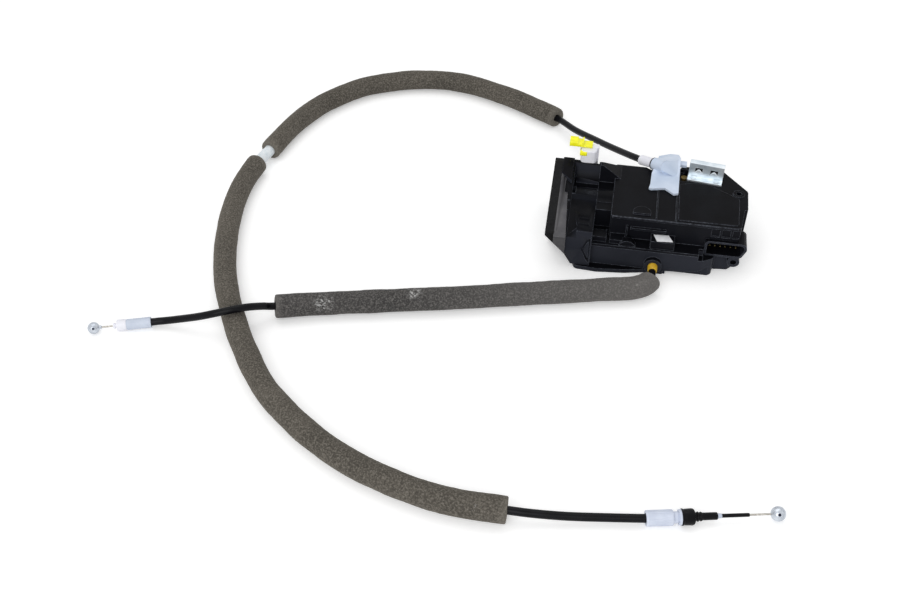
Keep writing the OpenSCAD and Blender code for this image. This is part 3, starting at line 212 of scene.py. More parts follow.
class Finish:
    """A material: two tones that drift into each other, grain in the gloss and the surface,
    rubbed edges whose edge colour is also a painted highlight."""

    def __init__(self, name, dark, light, gloss, metal=0.0, cloud=60.0, grain=2200.0,
                 depth=0.00002, edge=None, edge_gain=6.0, specular=0.5):
        self.material = bpy.data.materials.new(name)
        self.material.use_nodes = True
        self.tree = self.material.node_tree
        self.shader = self.tree.nodes["Principled BSDF"]
        self.shader.inputs["Metallic"].default_value = metal
        self.shader.inputs["Specular IOR Level"].default_value = specular
        self.place = self.tree.nodes.new("ShaderNodeTexCoord").outputs["Object"]
        tone = self.group(tone_group, {"Cloud Size": cloud, "Grain Size": grain})
        self.cloud = tone.outputs["Cloud"]
        edge_wear_and_highlight = self.group(edge_group, {"Gain": edge_gain})
        self.rubbed_and_highlit = edge_wear_and_highlight.outputs["Rubbed And Highlit"]
        tones = self.blend(self.stretch(self.cloud, 0.3, 0.7), dark, light)
        # The edge colour over the rubbed edges is partly wear and partly a painted highlight.
        if edge is not None:
            tones = self.blend(self.rubbed_and_highlit, tones, edge)
        self.paint(tones)
        dull = self.stretch(tone.outputs["Grain"], 0.25, 0.75, *gloss)
        self.tree.links.new(dull, self.shader.inputs["Roughness"])
        self.relief = self.tree.nodes.new("ShaderNodeBump")
        self.relief.inputs["Distance"].default_value = depth
        self.tree.links.new(edge_wear_and_highlight.outputs["Round Normal"], self.relief.inputs["Normal"])
        self.tree.links.new(self.relief.outputs["Normal"], self.shader.inputs["Normal"])
        self.raise_by(tone.outputs["Grain"])

    def group(self, tree, values):
        """A shared shader group, placed with this finish's own values."""
        node = self.tree.nodes.new("ShaderNodeGroup")
        node.node_tree = tree
        for label, value in values.items():
            node.inputs[label].default_value = value
        return node

    def stretch(self, value, low, high, to_low=0.0, to_high=1.0):
        """A value taken from one range to another, and held at its ends."""
        node = self.tree.nodes.new("ShaderNodeMapRange")
        self.tree.links.new(value, node.inputs["Value"])
        for label, number in (("From Min", low), ("From Max", high),
                              ("To Min", to_low), ("To Max", to_high)):
            node.inputs[label].default_value = number
        return node.outputs["Result"]

    def blend(self, share, first, second):
        """The second colour over the first, by a share from 0 to 1."""
        node = self.tree.nodes.new("ShaderNodeMix")
        node.data_type = "RGBA"
        self.tree.links.new(share, node.inputs[0])
        for socket, value in ((node.inputs[6], first), (node.inputs[7], second)):
            if isinstance(value, tuple):
                socket.default_value = value
            else:
                self.tree.links.new(value, socket)
        return node.outputs[2]

    def paint(self, colour):
        """Takes a colour as the finish's own."""
        self.colour = colour
        self.tree.links.new(colour, self.shader.inputs["Base Color"])

    def raise_by(self, height):
        """Takes a value as the height of the surface."""
        self.tree.links.new(height, self.relief.inputs["Height"])


def place_piece(name, bm, finish, body, smooth=40.0):
    """Makes a bmesh a piece of the lock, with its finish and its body."""
    mesh = bpy.data.meshes.new(name)
    bm.to_mesh(mesh)
    bm.free()
    mesh.materials.append(finish.material)
    mesh.shade_smooth()
    mesh.set_sharp_from_angle(angle=math.radians(smooth))
    piece = bpy.data.objects.new(name, mesh)
    scene.collection.objects.link(piece)
    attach(piece, body)
    return piece


def smooth_line(points):
    """A route in millimetres as an evenly stepped smooth line in metres."""
    step = 1.5 * mm
    stops = [Vector(p) * mm for p in points]
    dense = []
    for i in range(len(stops) - 1):
        before = stops[i - 1] if i else stops[0] * 2 - stops[1]
        after = stops[i + 2] if i + 2 < len(stops) else stops[-1] * 2 - stops[-2]
        first, second = stops[i], stops[i + 1]
        count = max(1, round((second - first).length / step))
        for k in range(count):
            t = k / count
            dense.append(0.5 * (2 * first + (second - before) * t
                                + (2 * before - 5 * first + 4 * second - after) * t * t
                                + (3 * first - before - 3 * second + after) * t ** 3))
    return dense + [stops[-1]]


def near(line, x, y):
    """The number of the line's point nearest to a place on the table, in millimetres."""
    return min(range(len(line)), key=lambda i: (line[i].xy - Vector((x, y)) * mm).length)


def conduit(name, line, radius, finish):
    """A flexible conduit: a round curve along its own line, closed at both ends."""
    curve = bpy.data.curves.new(name, "CURVE")
    curve.dimensions = "3D"
    curve.bevel_depth = radius
    curve.bevel_resolution = 6
    curve.use_fill_caps = True
    strand = curve.splines.new("POLY")
    strand.points.add(len(line) - 1)
    for point, at in zip(strand.points, line):
        point.co = (*at, 1.0)
    strand.use_smooth = True
    curve.materials.append(finish.material)
    piece = bpy.data.objects.new(name, curve)
    scene.collection.objects.link(piece)
    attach(piece, "lock_case")
    return piece


def swept(line, stations, wall_share):
    """A round skin along a line. Each station is (point number, offset along, radius)."""
    frames, up = [], Vector((0, 0, 1))
    for i, at in enumerate(line):
        ahead = (line[min(i + 1, len(line) - 1)] - line[max(i - 1, 0)]).normalized()
        side = ahead.cross(up).normalized()
        frames.append((at, ahead, Matrix((side, side.cross(ahead), ahead)).transposed()))
    bm = bmesh.new()

    def stand(station):
        """Where the station's ring stands, and how wide it is."""
        at, ahead, turn = frames[station[0]]
        return (Matrix.Translation(at + ahead * station[1]) @ turn.to_4x4()
                @ Matrix.Diagonal((station[2], station[2], 1.0, 1.0)))

    now = stand(stations[0])
    ring = bmesh.ops.create_circle(bm, segments=wall_share, radius=1.0, matrix=now)["verts"]
    edges = list(dict.fromkeys(e for v in ring for e in v.link_edges))
    bmesh.ops.contextual_create(bm, geom=edges)
    for station in stations[1:]:
        grown = bmesh.ops.extrude_edge_only(bm, edges=edges)["geom"]
        ring = [g for g in grown if isinstance(g, bmesh.types.BMVert)]
        held = set(ring)
        edges = [g for g in grown if isinstance(g, bmesh.types.BMEdge) and set(g.verts) <= held]
        then = stand(station)
        bmesh.ops.transform(bm, matrix=then @ now.inverted(), verts=ring)
        now = then
    bmesh.ops.contextual_create(bm, geom=edges)
    bmesh.ops.recalc_face_normals(bm, faces=bm.faces)
    return bm


def foam_sleeve(name, line, first, last, finish, seed):
    """A soft foam tube between two points of a line, cut square, with rubbed rims
    and a slightly uneven skin."""
    radius, bore = 7.85 * mm, 2.7 * mm
    rim_reach, rim_fade = 7.0 * mm, 2.2 * mm
    # Slow swell, closer lumps and pores: how close they lie, and how far they stand out in mm
    lumps, sink, highest = ((55, 0.42), (240, 0.14), (900, 0.07)), 0.12, 0.12
    start = [(first, 4 * mm, bore), (first, 0.4 * mm, bore), (first, 0.0, bore + 0.4 * mm),
             (first, 0.0, radius - 1.1 * mm), (first, 0.15 * mm, radius - 0.55 * mm),
             (first, 0.5 * mm, radius - 0.2 * mm), (first, 1.1 * mm, radius - 0.05 * mm)]
    end = [(last, -d, r) for _, d, r in reversed(start)]
    middle = [(i, 0.0, radius) for i in range(first + 2, last - 1)]
    bm = swept(line, start + middle + end, 56)
    bm.normal_update()
    rim = bm.verts.layers.float.new("rubbed_rim")
    for v in bm.verts:
        from_end = min((v.co - line[first]).length, (v.co - line[last]).length)
        v[rim] = max(0.0, 1.0 - max(0.0, from_end - rim_reach) / rim_fade)
    where = Vector((seed, 0, 0))
    pushes = []
    for v in bm.verts:
        height = sum(noise.noise(v.co * close + where) * reach for close, reach in lumps)
        pushes.append((v, v.normal * min(height - sink, highest) * mm))
    for v, push in pushes:
        v.co += push
    return place_piece(name, bm, finish, "lock_case", 60.0)


def foam_finish(name, deep, dark, light, pale, scuffs=(), right_end_paleness=0.0):
    """Open-cell foam: dull, porous, mottled, with pale flecks, rubbed rims, scuffs
    and paler towards its right end."""
    foam = Finish(name, dark, light, (0.85, 1.0), cloud=45.0, grain=1500.0, depth=0.00022,
                  specular=0.1)
    foam.shader.inputs["Sheen Weight"].default_value = 0.55
    foam.shader.inputs["Sheen Roughness"].default_value = 0.45
    foam.shader.inputs["Sheen Tint"].default_value = pale
    fleck_tone, scuff_tone = linear(196, 193, 188), linear(206, 206, 204)
    pore = foam.tree.nodes.new("ShaderNodeTexVoronoi")
    pore.inputs["Scale"].default_value = 1900.0
    foam.tree.links.new(foam.place, pore.inputs["Vector"])
    hollow = foam.stretch(pore.outputs["Distance"], 0.0, 0.6, 0.35, 1.0)
    skin = foam.blend(hollow, deep, foam.colour)
    mottle = noise_of(foam.tree, foam.place, 900.0, 3.0, 0.6)
    skin = foam.blend(foam.stretch(mottle, 0.48, 0.66, 0.0, 0.55), skin, pale)
    skin = foam.blend(foam.stretch(mottle, 0.5, 0.34, 0.0, 0.5), skin, deep)
    fleck = noise_of(foam.tree, foam.place, 95.0, 5.0, 0.75)
    skin = foam.blend(foam.stretch(fleck, 0.66, 0.74, 0.0, 0.5), skin, fleck_tone)
    for spot, reach in scuffs:
        away = foam.tree.nodes.new("ShaderNodeVectorMath")
        away.operation = "DISTANCE"
        foam.tree.links.new(foam.place, away.inputs[0])
        away.inputs[1].default_value = Vector(spot) * mm
        inside = foam.stretch(away.outputs["Value"], reach * mm, 0.25 * reach * mm)
        torn = foam.stretch(noise_of(foam.tree, foam.place, 430.0, 5.0, 0.8), 0.5, 0.62)
        skin = foam.blend(maths(foam.tree, "MULTIPLY", inside, torn), skin, scuff_tone)
    along = foam.tree.nodes.new("ShaderNodeSeparateXYZ")
    foam.tree.links.new(foam.place, along.inputs[0])
    # The foam turns paler towards its right end.
    skin = foam.blend(foam.stretch(along.outputs["X"], -0.15, 0.0, 0.0, right_end_paleness), skin, pale)
    rim = foam.tree.nodes.new("ShaderNodeAttribute")
    rim.attribute_name = "rubbed_rim"
    skin = foam.blend(maths(foam.tree, "MULTIPLY", rim.outputs["Fac"], 0.45), skin, pale)
    foam.paint(skin)
    foam.raise_by(maths(foam.tree, "ADD", hollow, maths(foam.tree, "MULTIPLY", mottle, 0.8)))
    return foam


conduit_radius = 2.5 * mm
conduit_finish = Finish("conduit_plastic", linear(9, 9, 12), linear(18, 18, 22), (0.2, 0.32),
                        cloud=130.0, grain=3000.0, depth=0.00001, specular=0.12)
foam_grey = foam_finish(
    "foam_grey", linear(48, 47, 47), linear(66, 65, 64), linear(80, 78, 77),
    linear(126, 123, 120), (((-203, -121.5, 14), 8.0), ((-146.5, -103, 15), 6.0)), 0.4)

route_a = smooth_line([
    (7, -46.5, 8), (7, -51, 8), (6, -56, 8), (3, -60.5, 8), (-1, -63.5, 8), (-7, -66, 8),
    (-27, -71, 8), (-60, -79.5, 8), (-92, -88, 8), (-124, -96.5, 8), (-156, -104, 8),
    (-188, -112, 8), (-210, -117.5, 8), (-235, -125, 9), (-242, -130, 12.5), (-249, -137, 17),
    (-257, -143.5, 19.5), (-267, -147, 18), (-279, -147.5, 13.5), (-293, -146.5, 8),
    (-302, -146.5, 5.2), (-308, -147.5, 4.4), (-312, -148.7, 4.2), (-314.5, -149.55, 4.2)])
foam_a_start, foam_a_end = near(route_a, 6, -56), near(route_a, -235, -125)
cable_a = conduit("cable_a_conduit", route_a, conduit_radius, conduit_finish)
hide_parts("conduit_a")
sleeve_a = foam_sleeve("cable_a_foam", route_a, foam_a_start, foam_a_end, foam_grey, 3.1)
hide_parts("foam_a")

# Far end of cable A: grey-white ferrule, whiter collar with a nozzle, bare wire and zinc ball.
# The ferrule and collar are moulded on the conduit and clip into the handle;
# the ball is cast on the twisted wire.


def turned(start, direction, profile, wall_share=40):
    """A round piece along a direction, spun from its profile of (distance, radius) in mm."""
    bm = bmesh.new()
    spots = [bm.verts.new((r * mm, 0, d * mm)) for d, r in profile]
    edges = [bm.edges.new(pair) for pair in zip(spots, spots[1:])]
    bmesh.ops.spin(bm, geom=spots + edges, cent=(0, 0, 0), axis=(0, 0, 1), angle=math.tau,
                   steps=wall_share, use_merge=True)
    bmesh.ops.remove_doubles(bm, verts=bm.verts, dist=1e-6)
    bmesh.ops.dissolve_degenerate(bm, dist=1e-7, edges=bm.edges)
    bmesh.ops.recalc_face_normals(bm, faces=bm.faces)
    turn = Vector(direction).to_track_quat("Z", "Y").to_matrix().to_4x4()
    bmesh.ops.transform(bm, matrix=Matrix.Translation(Vector(start) * mm) @ turn,
                        verts=bm.verts)
    return bm


def softened(piece, width):
    """A small round on the sharp edges of a moulded or turned piece."""
    edge = piece.modifiers.new("moulded_edge", "BEVEL")
    edge.width = width * mm
    edge.segments = 2
    edge.limit_method = "ANGLE"
    edge.angle_limit = math.radians(35)
    return piece


def twisted(start, direction, first, last):
    """Twisted steel wire: a six-lobed section turned as it is drawn along."""
    radius, lay, lobes, groove = 0.6, 7.0, 6, 0.16
    bm = bmesh.new()
    ring = bmesh.ops.create_circle(bm, cap_ends=True, segments=36, radius=radius * mm,
                                   matrix=Matrix.Translation((0, 0, first * mm)))["verts"]
    for i, v in enumerate(ring):
        v.co.xy *= 1.0 - groove + groove * abs(math.cos(math.pi * i / lobes))
    steps = max(4, round((last - first) / 0.4))
    bmesh.ops.spin(bm, geom=ring + bm.edges[:] + bm.faces[:], cent=(0, 0, 0), axis=(0, 0, 1),
                   dvec=(0, 0, (last - first) * mm / steps),
                   angle=math.tau * (last - first) / lay, steps=steps)
    bmesh.ops.recalc_face_normals(bm, faces=bm.faces)
    turn = Vector(direction).to_track_quat("Z", "Y").to_matrix().to_4x4()
    bmesh.ops.transform(bm, matrix=Matrix.Translation(Vector(start) * mm) @ turn,
                        verts=bm.verts)
    return bm


def ball(centre, radius, dimple_way):
    """A cast ball with a small dimple sunk in one side, painted dark as a painted reflection."""
    dimple_depth = 0.8
    arc = [(radius * math.cos(math.radians(a)), radius * math.sin(math.radians(a)))
           for a in range(13, 178, 6)]
    dimple = [(radius - dimple_depth, 0.0), (radius - dimple_depth, 0.6)]
    bm = turned(centre, dimple_way, dimple + arc + [(-radius, 0.0)], 48)
    reflection_spot_layer = bm.verts.layers.float.new("dark_reflection_spot")
    for v in bm.verts:
        sunk = (v.co - Vector(centre) * mm).length < (radius - dimple_depth / 2) * mm
        v[reflection_spot_layer] = 1.0 if sunk else 0.0
    return bm


ferrule_grey = Finish("grey_white_plastic", linear(184, 193, 210), linear(202, 210, 224),
                      (0.35, 0.5), cloud=140.0, grain=2600.0, specular=0.4)
collar_white = Finish("white_plastic", linear(228, 229, 238), linear(240, 240, 246),
                      (0.35, 0.5), cloud=90.0, grain=2600.0, edge=linear(250, 250, 252),
                      specular=0.4)
wire_steel = Finish("wire_steel", linear(150, 146, 140), linear(200, 196, 188), (0.3, 0.45),
                    metal=1.0, cloud=700.0, grain=5000.0, depth=0.00003)
cast_zinc = Finish("cast_zinc", linear(172, 178, 187), linear(204, 210, 218), (0.18, 0.34),
                   metal=0.85, cloud=330.0, grain=1800.0, depth=0.00004)
# The dark blue-grey in the dimple is a painted reflection on the ball.
dark_reflection_spot = cast_zinc.tree.nodes.new("ShaderNodeAttribute")
dark_reflection_spot.attribute_name = "dark_reflection_spot"
cast_zinc.paint(cast_zinc.blend(dark_reflection_spot.outputs["Fac"], cast_zinc.colour, linear(40, 44, 58)))

end_a = (-312, -148.7, 4.2)
way_a = Vector((-14.8, -5.0, 0.0)).normalized()
grip_radius, grip_depth = 3.6, 0.14
grip_grooves = [(start + k, grip_radius - (grip_depth if k in (0.5, 0.8) else 0.0))
                for start in (4.2, 6.0, 7.8, 9.6, 11.4) for k in (0, 0.5, 0.8, 1.3)]
ferrule_a_profile = [
    (2.6, 0.85), (2.6, 2.75), (0.3, 2.8), (0.3, 3.5), (0.7, grip_radius), *grip_grooves,
    (15.2, grip_radius), (16, 3.4), (16, 0.85), (2.6, 0.85)]
collar_a_profile = [
    (16, 0.85), (16, 3.55), (16.6, 3.62), (17.4, 3.9), (22, 3.9), (22, 2.1), (22.6, 1.4),
    (23.2, 1.4), (23.2, 2), (24.5, 1.9), (24.5, 0.85), (16, 0.85)]
neck_a_profile = [(31.8, 0), (31.8, 0.85), (32.3, 1.2), (34.5, 1.3), (34.5, 0)]

ferrule_a = softened(place_piece("cable_a_ferrule", turned(end_a, way_a, ferrule_a_profile),
                                 ferrule_grey, "lock_case"), 0.12)
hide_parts("ferrule_a")
collar_a = softened(place_piece("cable_a_collar", turned(end_a, way_a, collar_a_profile),
                                collar_white, "lock_case"), 0.35)
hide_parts("collar_a")
wire_a = place_piece("cable_a_wire", twisted(end_a, way_a, 4, 35.5), wire_steel, "wire_a")
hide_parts("wire_a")
ball_a = place_piece("cable_a_ball",
                     ball(Vector(end_a) + way_a * 37, 3.95, (0.35, -0.75, 0.55)),
                     cast_zinc, "wire_a")
neck_a = softened(place_piece("cable_a_ball_neck", turned(end_a, way_a, neck_a_profile),
                              cast_zinc, "wire_a"), 0.1)

# Cable B, to the lock cylinder: the same conduit with two foam sleeves and a pale band between.
# It leaves the fitting on the cover's back edge, loops round the left and comes back in front.
foam_brown = foam_finish("foam_brown", linear(54, 52, 48), linear(80, 76, 70),
                         linear(96, 91, 84), linear(134, 129, 120))
band_tape = Finish("band_tape", linear(214, 224, 230), linear(240, 244, 247), (0.35, 0.6),
                   cloud=420.0, grain=1400.0, depth=0.00008, specular=0.4)

route_b = smooth_line([
    (-8, 41, 37), (-16, 50, 33.5), (-30, 68.5, 26), (-45, 88.5, 18.5), (-60, 107.5, 12),
    (-76, 127, 8.3), (-96, 139.5, 8), (-117, 151, 8), (-148, 163, 8), (-172, 167, 8),
    (-196, 164.5, 8), (-216, 158, 8), (-236, 147.5, 8), (-254, 131, 8), (-268, 112, 8),
    (-277, 93, 8), (-283.5, 73, 8), (-290, 45, 8), (-293, 34, 8), (-294.5, 27, 8),
    (-297, 4, 8), (-296.5, -20, 8), (-292, -50, 8), (-284.5, -80, 8), (-274, -109, 8),
    (-259, -139, 8), (-240, -170, 8), (-219, -197, 8), (-190, -222, 8), (-158, -241, 8),
    (-126, -253, 8), (-96, -259, 8), (-63, -259.5, 8), (-48, -258.5, 7), (-30, -256, 5.5),
    (-8, -252.5, 4.8), (12, -249.5, 4.8), (14.5, -248.95, 4.8)])
foam_b_start, foam_b_end = near(route_b, -76, 127), near(route_b, -63, -259.5)
band_top, band_foot = near(route_b, -290, 45), near(route_b, -294.5, 27)
cable_b = conduit("cable_b_conduit", route_b, conduit_radius, conduit_finish)
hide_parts("conduit_b")
sleeve_b_upper = foam_sleeve("cable_b_foam_upper", route_b, foam_b_start, band_top, foam_brown, 7.7)
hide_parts("foam_b_upper")
sleeve_b_lower = foam_sleeve("cable_b_foam_lower", route_b, band_foot, foam_b_end, foam_brown, 11.3)
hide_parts("foam_b_lower")

band_radius, band_rim, band_wrinkle = 4.25, 3.9, 0.06
band_stations = [
    (band_top, -0.6 * mm, band_rim * mm), (band_top, 0.0, band_radius * mm),
    *((i, 0.0, (band_radius + band_wrinkle * math.sin(i * 1.9)) * mm)
      for i in range(band_top + 1, band_foot)),
    (band_foot, 0.0, band_radius * mm), (band_foot, 0.6 * mm, band_rim * mm)]
band = place_piece("cable_b_band", swept(route_b, band_stations, 40), band_tape, "lock_case",
                   60.0)
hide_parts("band_b")

# Far end of cable B: ribbed white ferrule with a stepped neck, black rubber boot, pale tip,
# coated wire, then bare wire and its ball. The boot keeps water out of the conduit.
ferrule_white = Finish("ferrule_white", linear(196, 204, 222), linear(212, 219, 234),
                       (0.3, 0.45), cloud=140.0, grain=2600.0, specular=0.4)
boot_rubber = Finish("boot_rubber", linear(7, 7, 9), linear(17, 17, 20), (0.2, 0.32),
                     cloud=160.0, grain=2400.0, depth=0.00003, specular=0.1)
end_b = (12, -249.5, 4.8)
way_b = Vector((14.6, 3.2, 0.0)).normalized()
ferrule_b_profile = [
    (2.6, 1.35), (2.6, 2.75), (0.3, 2.85), (0.3, 4.3), (0.6, 4.5), (1.6, 4.5), (1.9, 4.5),
    (13.6, 4.5), (13.9, 4.5), (14.9, 4.5), (15.5, 4.2), (15.5, 3.3), (18.0, 3.3), (18.0, 3.0),
    (18.6, 3.0), (18.6, 4.4), (20, 4.5), (20, 1.35), (2.6, 1.35)]
boot_b_profile = [
    (20, 1.65), (20, 4.6), (20.1, 4.8), (20.9, 4.8), (21.2, 4.5), (22.0, 4.55), (25.8, 4.75),
    (27.0, 4.4), (27.6, 3.4), (27.8, 2.4), (28.4, 2.3), (28.8, 2.8), (29.4, 2.8), (29.8, 2.3),
    (30.2, 2.3), (30.6, 2.7), (31.2, 2.6), (31.8, 2.15), (39.6, 2.15), (40.1, 1.95),
    (40.1, 1.65), (20, 1.65)]
coat_b_profile = [(30, 0), (30, 1.1), (57.6, 1.1), (58, 0.9), (58, 0)]
tip_b_profile = [(40.2, 0), (40.2, 1.5), (41.8, 1.4), (42.6, 1.15), (42.6, 0)]

rib_count, rib_depth, ribs_from, ribs_to = 16, 0.28, 1.8, 13.7
ferrule_bm = turned(end_b, way_b, ferrule_b_profile, 64)
for v in ferrule_bm.verts:
    along = (v.co - Vector(end_b) * mm).dot(way_b)
    outward = v.co - Vector(end_b) * mm - way_b * along
    if ribs_from * mm < along < ribs_to * mm:
        around = math.atan2(outward.z, outward.cross(way_b).z)
        dip = max(0.0, math.cos(rib_count * around)) ** 2
        v.co -= outward.normalized() * rib_depth * mm * dip
ferrule_b = softened(place_piece("cable_b_ferrule", ferrule_bm, ferrule_white, "lock_case"), 0.08)
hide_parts("ferrule_b")
boot_b = softened(place_piece("cable_b_boot", turned(end_b, way_b, boot_b_profile),
                              boot_rubber, "lock_case"), 0.18)
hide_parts("boot_b")
wire_b = place_piece("cable_b_wire", twisted(end_b, way_b, 57, 71), wire_steel, "wire_b")
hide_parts("wire_b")
coat_b = softened(place_piece("cable_b_wire_coat", turned(end_b, way_b, coat_b_profile),
                              conduit_finish, "wire_b"), 0.1)
tip_b = softened(place_piece("cable_b_sleeve_tip", turned(end_b, way_b, tip_b_profile),
                             ferrule_grey, "wire_b"), 0.1)
ball_b = place_piece("cable_b_ball",
                     ball(Vector(end_b) + way_b * 74, 4.25, (0.05, -0.72, 0.7)),
                     cast_zinc, "wire_b")
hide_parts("wire_b")

# Case end of cable B: a plain white ferrule moulded on the conduit.
# It is pushed into the fitting through a black rubber washer that keeps the water out.


def coat_nodes(finish, *nodes):
    """Gives a finish to CAD nodes that stay as they are."""
    for node in nodes:
        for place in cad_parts[node].material_slots:
            place.material = finish.material


coat_nodes(collar_white, "ferrule_b_case")
coat_nodes(boot_rubber, "fitting_washer")

# Black mouldings: latch case, tray with its rim, cover, socket and switch.
# Glass-filled plastic with a fine spark-eroded grain. Its walls are painted paler than its flats as
# painted light, and its edges are rubbed and carry a painted highlight. The cover is screwed to the
# tray from below.


def black_moulding(name, painted_lit_wall_dark, painted_lit_wall_light):
    """Black plastic whose walls are painted paler than its flats: painted light."""
    made = Finish(name, linear(9, 9, 12), linear(17, 18, 22), (0.24, 0.4), cloud=48.0,
                  grain=2600.0, specular=0.04)
    facing = made.tree.nodes.new("ShaderNodeSeparateXYZ")
    made.tree.links.new(made.tree.nodes["Texture Coordinate"].outputs["Normal"],
                        facing.inputs[0])
    # Walls that face sideways take the paler wall tones: painted light.
    wall_share = made.stretch(maths(made.tree, "ABSOLUTE", facing.outputs["Z"]), 0.75, 0.2)
    painted_lit_walls = made.blend(made.cloud, painted_lit_wall_dark, painted_lit_wall_light)
    made.paint(made.blend(wall_share, made.colour, painted_lit_walls))
    # Pale rubbed edges, which are also a painted highlight along them.
    made.paint(made.blend(made.rubbed_and_highlit, made.colour, linear(112, 116, 126)))
    return made


def merged(node):
    """A copy of a CAD node with its faces joined at their edges."""
    bm = bmesh.new()
    bm.from_mesh(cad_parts[node].data)
    bmesh.ops.remove_doubles(bm, verts=bm.verts, dist=1e-7)
    return bm


def without(bm, cutter):
    """A closed mesh with another one cut out of it."""
    pair = []
    for each in (bm, cutter):
        mesh = bpy.data.meshes.new("cut")
        each.to_mesh(mesh)
        each.free()
        pair.append(bpy.data.objects.new("cut", mesh))
        scene.collection.objects.link(pair[-1])
    cut = pair[0].modifiers.new("cut", "BOOLEAN")
    cut.operation, cut.solver, cut.object = "DIFFERENCE", "EXACT", pair[1]
    left = bmesh.new()
    view = bpy.context.evaluated_depsgraph_get()
    left.from_mesh(pair[0].evaluated_get(view).to_mesh())
    for each in pair:
        mesh = each.data
        bpy.data.objects.remove(each)
        bpy.data.meshes.remove(mesh)
    return left


def hull_of(corners):
    """The closed hull round a list of corners, in millimetres."""
    bm = bmesh.new()
    for corner in corners:
        bm.verts.new([c * mm for c in corner])
    bmesh.ops.convex_hull(bm, input=bm.verts)
    bmesh.ops.recalc_face_normals(bm, faces=bm.faces)
    return bm


def cut_corner():
    """The slope that takes off the lower front corner of the latch end. It is the hull of a
    front and a back outline in x and z."""
    front_y, back_y = -60, 0
    front = ((-83.9, 57.6), (-66.5, 40.3), (-53.2, 26.6), (-47.6, 17.3), (-47.6, -50),
             (-83.9, -50))
    back = ((-89.5, 9.9), (-70.3, -9.3), (-55.6, -24.4), (-49.5, -34.7), (-49.5, -90),
            (-89.5, -90))
    return hull_of([(x, y, z) for y, outline in ((front_y, front), (back_y, back))
                    for x, z in outline])


# The wall tones are painted light, paler on the tray, latch case and socket than on the cover.
black_plastic = black_moulding("black_plastic", linear(34, 36, 42), linear(50, 52, 60))
black_cover = black_moulding("black_cover", linear(15, 16, 20), linear(26, 27, 32))
coat_nodes(black_plastic, "case_base", "connector_shroud", "lock_switch")
coat_nodes(black_cover, "case_cover")

latch_block = place_piece("latch_block", without(merged("latch_case"), cut_corner()),
                          black_plastic, "lock_case", 30.0)
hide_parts("latch_case")
shoulder_foot = 40.0
shoulder_top = ((-62.4, 4.9, 45.4), (-54.5, -0.8, 43.4), (-62.4, 13.2, 48.3),
                (-54.5, 13.2, 48.3), (-62.4, 19.5, 48.3), (-54.5, 19.5, 48.3))
shoulder_bm = hull_of([(x, y, height) for x, y, z in shoulder_top
                       for height in (z, shoulder_foot)])
latch_shoulder = softened(place_piece("latch_shoulder", shoulder_bm, black_plastic,
                                      "lock_case", 30.0), 0.6)

# Latch end: steel face plate with a flange folded over the slope, and the rubber seal round it.
# The plate is pressed and zinc plated, and the seal is ribbed cellular rubber glued to its edge.
plate_steel = Finish("plate_steel", linear(60, 60, 64), linear(90, 89, 91), (0.42, 0.6),
                     metal=0.5, cloud=70.0, grain=900.0, depth=0.00004,
                     edge=linear(150, 150, 152), edge_gain=3.0, specular=0.2)
seal_rubber = Finish("seal_rubber", linear(14, 14, 15), linear(26, 26, 28), (0.7, 0.95),
                     cloud=120.0, grain=900.0, depth=0.0002, specular=0.2)
coat_nodes(plate_steel, "rear_plate")
coat_nodes(seal_rubber, "bump_stop")

# The flange's free edge is cut back to a slanting line
flange_cut_height = 60.0
flange_cut = bmesh.new()
flange_foot = [flange_cut.verts.new((x * mm, y * mm, 0))
               for x, y in ((-57.5, 5), (-53.5, -46), (-40, -46), (-40, 5))]
flange_grown = bmesh.ops.extrude_face_region(
    flange_cut, geom=[flange_cut.faces.new(flange_foot)])["geom"]
bmesh.ops.translate(flange_cut, vec=(0, 0, flange_cut_height * mm),
                    verts=[g for g in flange_grown if isinstance(g, bmesh.types.BMVert)])
bmesh.ops.recalc_face_normals(flange_cut, faces=flange_cut.faces)
face_plate = place_piece(
    "latch_face_plate", without(without(merged("latch_plate"), flange_cut), cut_corner()),
    plate_steel, "lock_case")
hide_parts("latch_plate")
seal = place_piece("latch_face_seal", without(merged("face_seal"), cut_corner()), seal_rubber,
                   "lock_case")
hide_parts("face_seal")

# Outside handle lever: white moulded post on a pin in the case, turned by the handle's rod.
# A yellow snap clip on the post's top holds the rod, and its short stud shows in front.


def block_of(x0, x1, y0, y1, z0, z1):
    """A square block between two corners, in millimetres."""
    bm = bmesh.new()
    bmesh.ops.create_cube(bm, size=1.0)
    bmesh.ops.scale(bm, vec=((x1 - x0) * mm, (y1 - y0) * mm, (z1 - z0) * mm), verts=bm.verts)
    middle = ((x0 + x1) / 2 * mm, (y0 + y1) / 2 * mm, (z0 + z1) / 2 * mm)
    bmesh.ops.translate(bm, vec=middle, verts=bm.verts)
    return bm


yellow_plastic = Finish("yellow_plastic", linear(250, 246, 6), linear(255, 253, 50),
                        (0.35, 0.5), cloud=260.0, grain=2400.0, edge=linear(255, 254, 110),
                        specular=0.4)
coat_nodes(collar_white, "outside_lever")
post_block, post_corner_radius = (-50.7, -39.7, 14.6, 24.8, 48.1, 57.8), 2.6
post_bm = block_of(*post_block)
upright_edges = [e for e in post_bm.edges
                 if abs((e.verts[0].co - e.verts[1].co).normalized().z) > 0.9]
bmesh.ops.bevel(post_bm, geom=upright_edges, offset=post_corner_radius * mm,
                offset_type="OFFSET", segments=5, profile=0.5, affect="EDGES", material=-1)
handle_post = softened(place_piece("handle_post", post_bm, collar_white,
                                   "outside_handle_lever"), 0.45)

